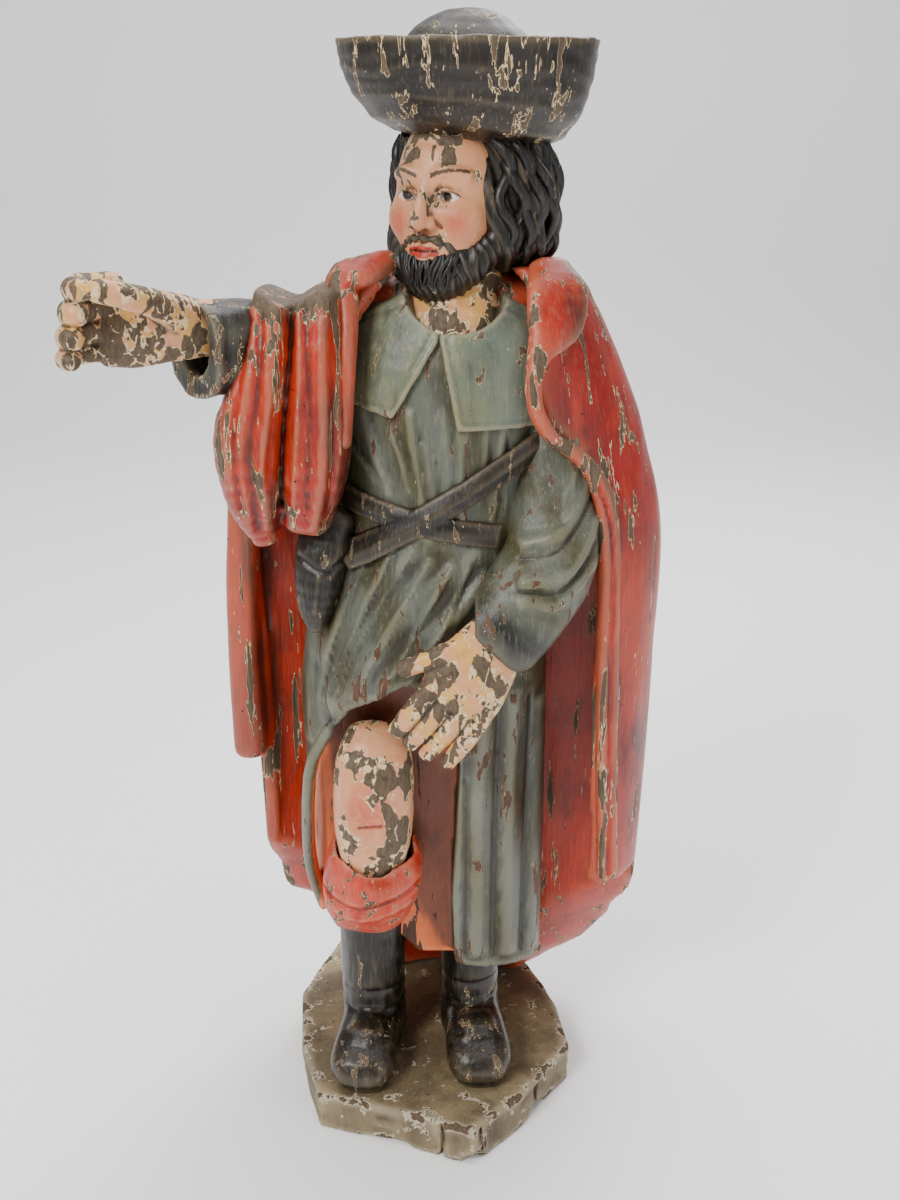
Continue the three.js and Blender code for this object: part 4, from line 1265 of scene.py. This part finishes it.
def boot(name, at, toe, top, thick, seed):
    (x, y), (tx, ty) = at, toe
    block = Block((min(x, tx) - 40, ty - 8, GROUND), (max(x, tx) + 40, y + 38, top), 1.8)
    shaft = [
        (x, y, top - 12, thick, thick), (x, y, 130, thick * 0.95, thick * 0.95),
        (x, y + 2, 84, thick * 0.94, thick), (x, y + 2, GROUND + 18, thick * 0.95, thick * 1.05),
    ]
    ax, ay = tx - x, ty - y
    foot = [
        (x, y + 6, 62, 27, 26), (x + ax * 0.4, y + ay * 0.4, 68, 29, 28),
        (x + ax * 0.7, y + ay * 0.7, 62, 31, 22), (x + ax * 0.8, y + ay * 0.8, 58, 27, 19),
    ]
    block.add(limb(block, shaft, (1, 0, 0), steps=10))
    block.add(limb(block, foot, (1, 0, 0), steps=10, blunt=2.4), 8)
    z = block.axes[2]
    block.raise_by(-1.4 * bell(z, GROUND + 8, 1.6) + 0.8 * bell(z, GROUND + 3, 3))
    block.raise_by(-1.6 * bell(z - 0.25 * (block.axes[1] - y), 100, 3) - 1.2 * bell(z, 118, 2.5))
    gouged(block, (12, 12, 26), 1.0, seed)
    block.field = np.maximum(block.field, np.maximum(GROUND - z, z - top))
    return carve(name, block, boot_paint)


# The right forearm and both hands.
FOREARM = [
    (-104, -20, 738, 34, 30), (-150, -54, 743, 36, 33), (-182, -86, 747, 37, 34), (-202, -106, 746, 38, 34),
]


def right_forearm():
    block = Block((-232, -136, 700), (-84, 8, 788), 1.8)
    x, y, _ = block.axes
    block.add(limb(block, FOREARM, (0, 0, 1), steps=12, blunt=2.4))
    past = (x + 196) * -0.707 + (y + 100) * -0.707 - 8
    block.cut((EVERYWHERE, -past.astype(np.float32) + 0 * block.field), 1.5)
    block.cut(limb(block, [(-186, -90, 752, 27, 20), (-236, -140, 762, 29, 23)], (0, 0, 1), steps=4), 1)
    block.raise_by(2.0 * bell(past, -12, 3) * -0.6)
    gouged(block, (16, 16, 18), 1.4, 71)

    def paint(p, n):
        return washed(SLATE + 0 * p, BLUE_GREY, 0.25 + 0.25 * np.sin(p[:, 2] / 5))

    return carve("cuffed_forearm", block, sleeve_paint, paint, "right_forearm")


def bare_hand(p, n):
    """Flesh colour with ochre patches."""
    return washed(FLESH + 0 * p, hue(224, 178, 104), 0.5 + 0.5 * np.sin(p[:, 0] / 6 + p[:, 2] / 9))


def right_hand():
    block = Block((-296, -188, 733), (-168, -80, 815), 1.15)
    palm = [
        (-188, -96, 763, 22, 15), (-212, -114, 765, 25, 14),
        (-238, -126, 768, 31, 13), (-260, -128, 771, 33, 12),
    ]
    block.add(limb(block, palm, (0.1, 0, 1), steps=12))
    for x, z, half in ((-270, 801, 9.5), (-274, 784, 10), (-278, 766, 9.5), (-281, 750, 8)):
        finger = [
            (x + 14, -128, z, half), (x - 3, -141, z, half),
            (x - 5, -160, z, half), (x + 2, -175, z + 1, half * 0.9),
        ]
        block.add(limb(block, finger, (0, 0, 1), steps=10), 1.5)
        for joint_y in (-146, -164):
            block.add(ovoid(block, (x - 5, joint_y, z), (half * 0.9, 4, half * 1.04)), 3)
    thumb = [
        (-204, -116, 775, 16, 12), (-217, -140, 786, 12, 11),
        (-232, -163, 795, 10, 9), (-254, -175, 802, 9, 9),
    ]
    block.add(limb(block, thumb, (0, 0, 1), steps=12), 3)
    gouged(block, (9, 9, 9), 0.7, 73)
    return carve("gripping_hand", block, hand_paint, bare_hand, "right_hand")


LEFT_FINGERS = [
    (-16, 470, -44, 434, 9.5), (-1, 461, -33, 422, 9), (14, 453, -19, 412, 9), (28, 445, -1, 404, 8.5),
]


def left_hand():
    block = Block((-54, -152, 394), (64, -98, 526), 1.15)
    across = (0.78, 0, -0.62)
    palm = [(38, -114, 504, 27, 15), (26, -124, 488, 33, 15), (12, -132, 468, 36, 14), (5, -134, 458, 34, 13)]
    block.add(limb(block, palm, across, steps=12))
    for x0, z0, x1, z1, half in LEFT_FINGERS:
        finger = [
            (x0, -136, z0, half, 9),
            ((x0 + x1) / 2, -141, (z0 + z1) / 2, half, 8),
            (x1, -140, z1, half - 1.5, 7),
        ]
        block.add(limb(block, finger, across, steps=8, blunt=2.3), 1.5)
        for share in (0.05, 0.55):
            x, z = x0 + (x1 - x0) * share, z0 + (z1 - z0) * share
            block.add(ovoid(block, (x, -142.5, z), (half * 0.75, 5.5, half * 0.7)), 3)
    thumb = [(22, -124, 504, 13, 11), (-12, -132, 496, 9, 8), (-38, -132, 486, 8, 7)]
    block.add(limb(block, thumb, (0, 0, 1), steps=10), 3)
    gouged(block, (9, 9, 9), 0.7, 75)
    return carve("resting_hand", block, hand_paint, bare_hand, "left_hand")


# The base.
BASE_OUTLINE = [
    (-157, 30), (-149, -50), (-126, -126), (-44, -152), (22, -177), (68, -128),
    (119, -56), (112, 10), (86, 78), (38, 132), (-60, 146), (-124, 124),
]
# Points [x, z] of each crack in the base's front, its half width and its height.
BASE_CRACKS = [
    ([(-8, 36), (-6, 20), (-8, 0)], 2.2, -6),
    ([(28, 36), (30, 10)], 2, -5),
    ([(84, 30), (82, 4)], 2, -5),
]
# Middle and half sizes of each chip off the base's foot.
BASE_CHIPS = [
    ((-60, -160, 0), (26, 16, 9)),
    ((28, -178, 0), (18, 14, 12)),
    ((92, -104, 2), (24, 14, 8)),
]


def base():
    block = Block((-160, -180, 0), (122, 149, 40), 2.2)
    x, y, z = block.axes
    side = outline_distance(BASE_OUTLINE, x, y).astype(np.float32)
    level = np.maximum(-z, z - BASE_THICK)
    block.add((EVERYWHERE, -least(-side, -level, 4)))
    block.raise_by(ridges(block, BASE_CRACKS) * rise(y, -20, -60))
    gouged(block, (34, 34, 16), 3.2, 81)
    for place, half in BASE_CHIPS:
        block.cut(ovoid(block, place, half), 2)
    block.field = np.maximum(block.field, level + 0.8 * np.abs(lumps(block, (9, 60, 30), 83)) * (z > 20))
    return carve("base_slab", block, wood_finish, node="base")


# Geometry Nodes: carved strands along paths, and flight holes scattered over a surface.
class Growth:
    """A Geometry Nodes tree in the making, with one named input for each size."""

    def __init__(self, name, sizes):
        self.tree = bpy.data.node_groups.new(name, "GeometryNodeTree")
        sockets = self.tree.interface
        sockets.new_socket("Geometry", in_out="INPUT", socket_type="NodeSocketGeometry")
        self.keys = {}
        for label, value in sizes.items():
            kind = "NodeSocketInt" if isinstance(value, int) else "NodeSocketFloat"
            socket = sockets.new_socket(label, in_out="INPUT", socket_type=kind)
            self.keys[label] = (socket.identifier, value)
        sockets.new_socket("Geometry", in_out="OUTPUT", socket_type="NodeSocketGeometry")
        self.given = self.tree.nodes.new("NodeGroupInput").outputs

    def node(self, kind, settings, inputs, output=0):
        node = self.tree.nodes.new(kind)
        for key, value in settings.items():
            setattr(node, key, value)
        for key, value in inputs.items():
            if isinstance(value, bpy.types.NodeSocket):
                self.tree.links.new(value, node.inputs[key])
            else:
                node.inputs[key].default_value = value
        return node.outputs[output]

    def end(self, shape, material):
        whole = self.node("GeometryNodeRealizeInstances", {}, {0: shape})
        whole = self.node("GeometryNodeSetMaterial", {}, {"Geometry": whole, "Material": material})
        out = self.tree.nodes.new("NodeGroupOutput")
        self.tree.links.new(whole, out.inputs[0])
        return self

    def grow(self, name, mesh, node):
        """The tree's result on a mesh, as a plain mesh of its own."""
        piece = bpy.data.objects.new(name, mesh)
        bpy.context.scene.collection.objects.link(piece)
        modifier = piece.modifiers.new("growth", "NODES")
        modifier.node_group = self.tree
        for identifier, value in self.keys.values():
            modifier[identifier] = value
        settle(piece)
        return dress(piece, node)


def strands(name, paths, thickness, material):
    """A rounded strand along each path of points, in millimetres, thinner towards its end."""
    sizes = {"Strand thickness": thickness * METRE, "Thickness at the tip": 0.35, "Sides": 8}
    look = Growth(name, sizes)
    curve = look.node("GeometryNodeMeshToCurve", {}, {"Mesh": look.given[0]})
    along = look.node("GeometryNodeSplineParameter", {}, {})
    power = look.node("ShaderNodeMath", {"operation": "POWER"}, {0: along, 1: 3.0})
    settings = {"interpolation_type": "SMOOTHSTEP"}
    start = look.node("ShaderNodeMapRange", settings, {0: along, 1: 0.0, 2: 0.15, 3: 0.6, 4: 1.0})
    tip = look.node("ShaderNodeMapRange", {}, {0: power, 1: 0.0, 2: 1.0, 3: 1.0, 4: look.given[2]})
    scale = look.node("ShaderNodeMath", {"operation": "MULTIPLY"}, {0: start, 1: tip})
    inputs = {"Resolution": look.given[3], "Radius": look.given[1]}
    ring = look.node("GeometryNodeCurvePrimitiveCircle", {"mode": "RADIUS"}, inputs)
    inputs = {"Curve": curve, "Profile Curve": ring, "Scale": scale, "Fill Caps": True}
    strand = look.node("GeometryNodeCurveToMesh", {}, inputs)
    smooth = look.node("GeometryNodeSetShadeSmooth", {}, {"Geometry": strand})
    look.end(smooth, material)

    mesh = bpy.data.meshes.new(name)
    points, edges = [], []
    for path in paths:
        first = len(points)
        points.extend([tuple(v * METRE for v in point) for point in path])
        edges.extend((first + i, first + i + 1) for i in range(len(path) - 1))
    mesh.from_pydata(points, edges, [])
    return look.grow(name, mesh, "figure")


# painted shade: near-black for the shade inside each woodworm flight hole
hole_shade_finish = worn_paint("worm hole shade", hue(26, 18, 12), loss=0.95, nicks=0.95, sheen=0.0, gloss=0.8)


def flight_holes(piece, density, seed, node):
    """Woodworm flight holes over a piece, as small shallow pits coloured near-black as painted shade of each
    hole's depth.
    """
    sizes = {"Holes per square metre": float(density), "Hole radius": 0.75 * METRE, "Seed": seed}
    look = Growth(piece.name + "_holes", sizes)
    spread = look.tree.nodes.new("GeometryNodeDistributePointsOnFaces")
    look.tree.links.new(look.given[0], spread.inputs["Mesh"])
    look.tree.links.new(look.given[1], spread.inputs["Density"])
    look.tree.links.new(look.given[3], spread.inputs["Seed"])
    pit = look.node(
        "GeometryNodeMeshCylinder",
        {"fill_type": "TRIANGLE_FAN"},
        {"Vertices": 7, "Radius": look.given[2], "Depth": 0.35 * METRE},
    )
    inputs = {2: 0.6, 3: 1.25, "Seed": look.given[3]}
    size = look.node("FunctionNodeRandomValue", {"data_type": "FLOAT"}, inputs, 1)
    inputs = {"Points": spread.outputs["Points"], "Instance": pit, "Scale": size}
    pits = look.node("GeometryNodeInstanceOnPoints", {}, {**inputs, "Rotation": spread.outputs["Rotation"]})
    look.end(pits, hole_shade_finish)
    return look.grow(piece.name + "_holes", piece.data.copy(), node)


def in_head(x, y, z):
    """A place in the head's own frame as a place on the part, in millimetres."""
    cos, sin = math.cos(math.radians(HEAD_YAW)), math.sin(math.radians(HEAD_YAW))
    return cos * x - sin * y + HEAD_AT[0], sin * x + cos * y + HEAD_AT[1], z + HEAD_AT[2]


def hair_locks():
    """Waved locks down the sides and back of the head."""
    paths = []
    random = np.random.default_rng(7)
    for turn in np.radians(np.arange(-46, 227, 8.5)):
        sway, phase = random.uniform(0.07, 0.13), random.uniform(0, TURN)
        low = random.uniform(12, 26)
        path = []
        for t in np.linspace(0, 1, 26):
            z = 116 + (low - 116) * t
            cx, cy, rx, ry = [float(v) for v in rows_at(HAIR_ROWS, np.array(z))]
            angle = turn + sway * math.sin(TURN * 1.7 * t + phase)
            out = 1.5 + 3 * math.sin(TURN * 1.7 * t + phase + 1.2) - 3 * (t > 0.9) * (t - 0.9) * 10
            path.append(in_head(cx + (rx + out) * math.cos(angle), cy + (ry + out) * math.sin(angle), z))
        paths.append(path)
    return strands("hair_locks", paths, 5.6, hair_paint)


def beard_strands():
    """Short waved strands over the chin and jaw."""
    paths = []
    random = np.random.default_rng(11)
    for turn in np.radians(np.arange(-78, 79, 6.5)):
        path = []
        phase = random.uniform(0, TURN)
        for t in np.linspace(0, 1, 12):
            fall = 0.2 + 1.35 * t
            angle = turn * (1 - 0.25 * t) + 0.05 * math.sin(TURN * 1.4 * t + phase)
            x = 32.5 * math.sin(angle) * math.cos(0.55 * (fall - 0.4))
            y = -31 - 30.5 * math.cos(angle) * math.sin(min(fall + 0.35, 1.75))
            z = 12 + 27 * math.cos(min(fall + 0.35, 2.1))
            path.append(in_head(x, y, z))
        paths.append(path)
    return strands("beard_strands", paths, 2.3, hair_paint)


# Camera, light and floor.
def studio():
    camera = bpy.data.cameras.new("camera")
    camera.sensor_width = 36
    camera.lens = 39.78
    camera.clip_start = 0.05
    view = bpy.data.objects.new("camera", camera)
    view.location = (0, -1.15, 0.93)
    view.rotation_euler = (math.radians(69.4), 0, 0)
    bpy.context.scene.collection.objects.link(view)
    bpy.context.scene.camera = view

    pale = Finish("floor")
    shader = pale.node("ShaderNodeBsdfPrincipled", {}, {"Base Color": (1, 1, 1, 1), "Roughness": 0.9})
    pale.output(shader)
    steps = [(-5.0, 0.0), (2.6, 0.0)]
    steps += [(2.6 + math.sin(t), 1 - math.cos(t)) for t in np.radians(np.arange(6, 91, 6))]
    steps += [(3.6, 5.0)]
    points = [(x, y, z) for y, z in steps for x in (-5.0, 5.0)]
    faces = [(2 * i, 2 * i + 1, 2 * i + 3, 2 * i + 2) for i in range(len(steps) - 1)]
    mesh = bpy.data.meshes.new("floor")
    mesh.from_pydata(points, [], faces)
    mesh.polygons.foreach_set("use_smooth", [True] * len(faces))
    mesh.materials.append(pale.material)
    floor = bpy.data.objects.new("floor", mesh)
    bpy.context.scene.collection.objects.link(floor)

    lamps = [
        ("key", (-1.4, -1.9, 2.3), 0.9, 66),
        ("fill", (1.9, -1.7, 1.2), 1.6, 12),
        ("rim", (0.9, 1.6, 2.2), 1.4, 36),
        ("top", (0.0, 0.5, 3.4), 3.0, 120),
    ]
    for name, place, size, power in lamps:
        light = bpy.data.lights.new(name, "AREA")
        light.size = size
        light.energy = power
        lamp = bpy.data.objects.new(name, light)
        lamp.location = place
        aim = np.array([0, 0, 0.5]) - np.array(place)
        lamp.rotation_euler = (
            math.acos(-aim[2] / np.linalg.norm(aim)),
            0,
            math.atan2(aim[1], aim[0]) - math.pi / 2,
        )
        bpy.context.scene.collection.objects.link(lamp)

    world = bpy.data.worlds.new("studio")
    world.use_nodes = True
    world.node_tree.nodes["Background"].inputs["Color"].default_value = (1, 1, 1, 1)
    world.node_tree.nodes["Background"].inputs["Strength"].default_value = 0.36
    bpy.context.scene.world = world


slab = base()
mantle = cloak()
cloak_edges()
folds = drape()
tunic()
left_sleeve()
collar()
strap_and_belt()
pouch()
neck()
head()
hair()
hair_locks()
beard()
beard_strands()
hat()
bare_leg()
stocking()
boot("right_boot", (-76, -44), (-88, -132), 226, 33, 65)
boot("left_boot", (20, -34), (32, -126), 180, 30, 67)
right_forearm()
right_hand()
left_hand()
flight_holes(slab, 900, 3, "base")
flight_holes(mantle, 260, 5, "figure")
flight_holes(folds, 500, 9, "figure")
studio()
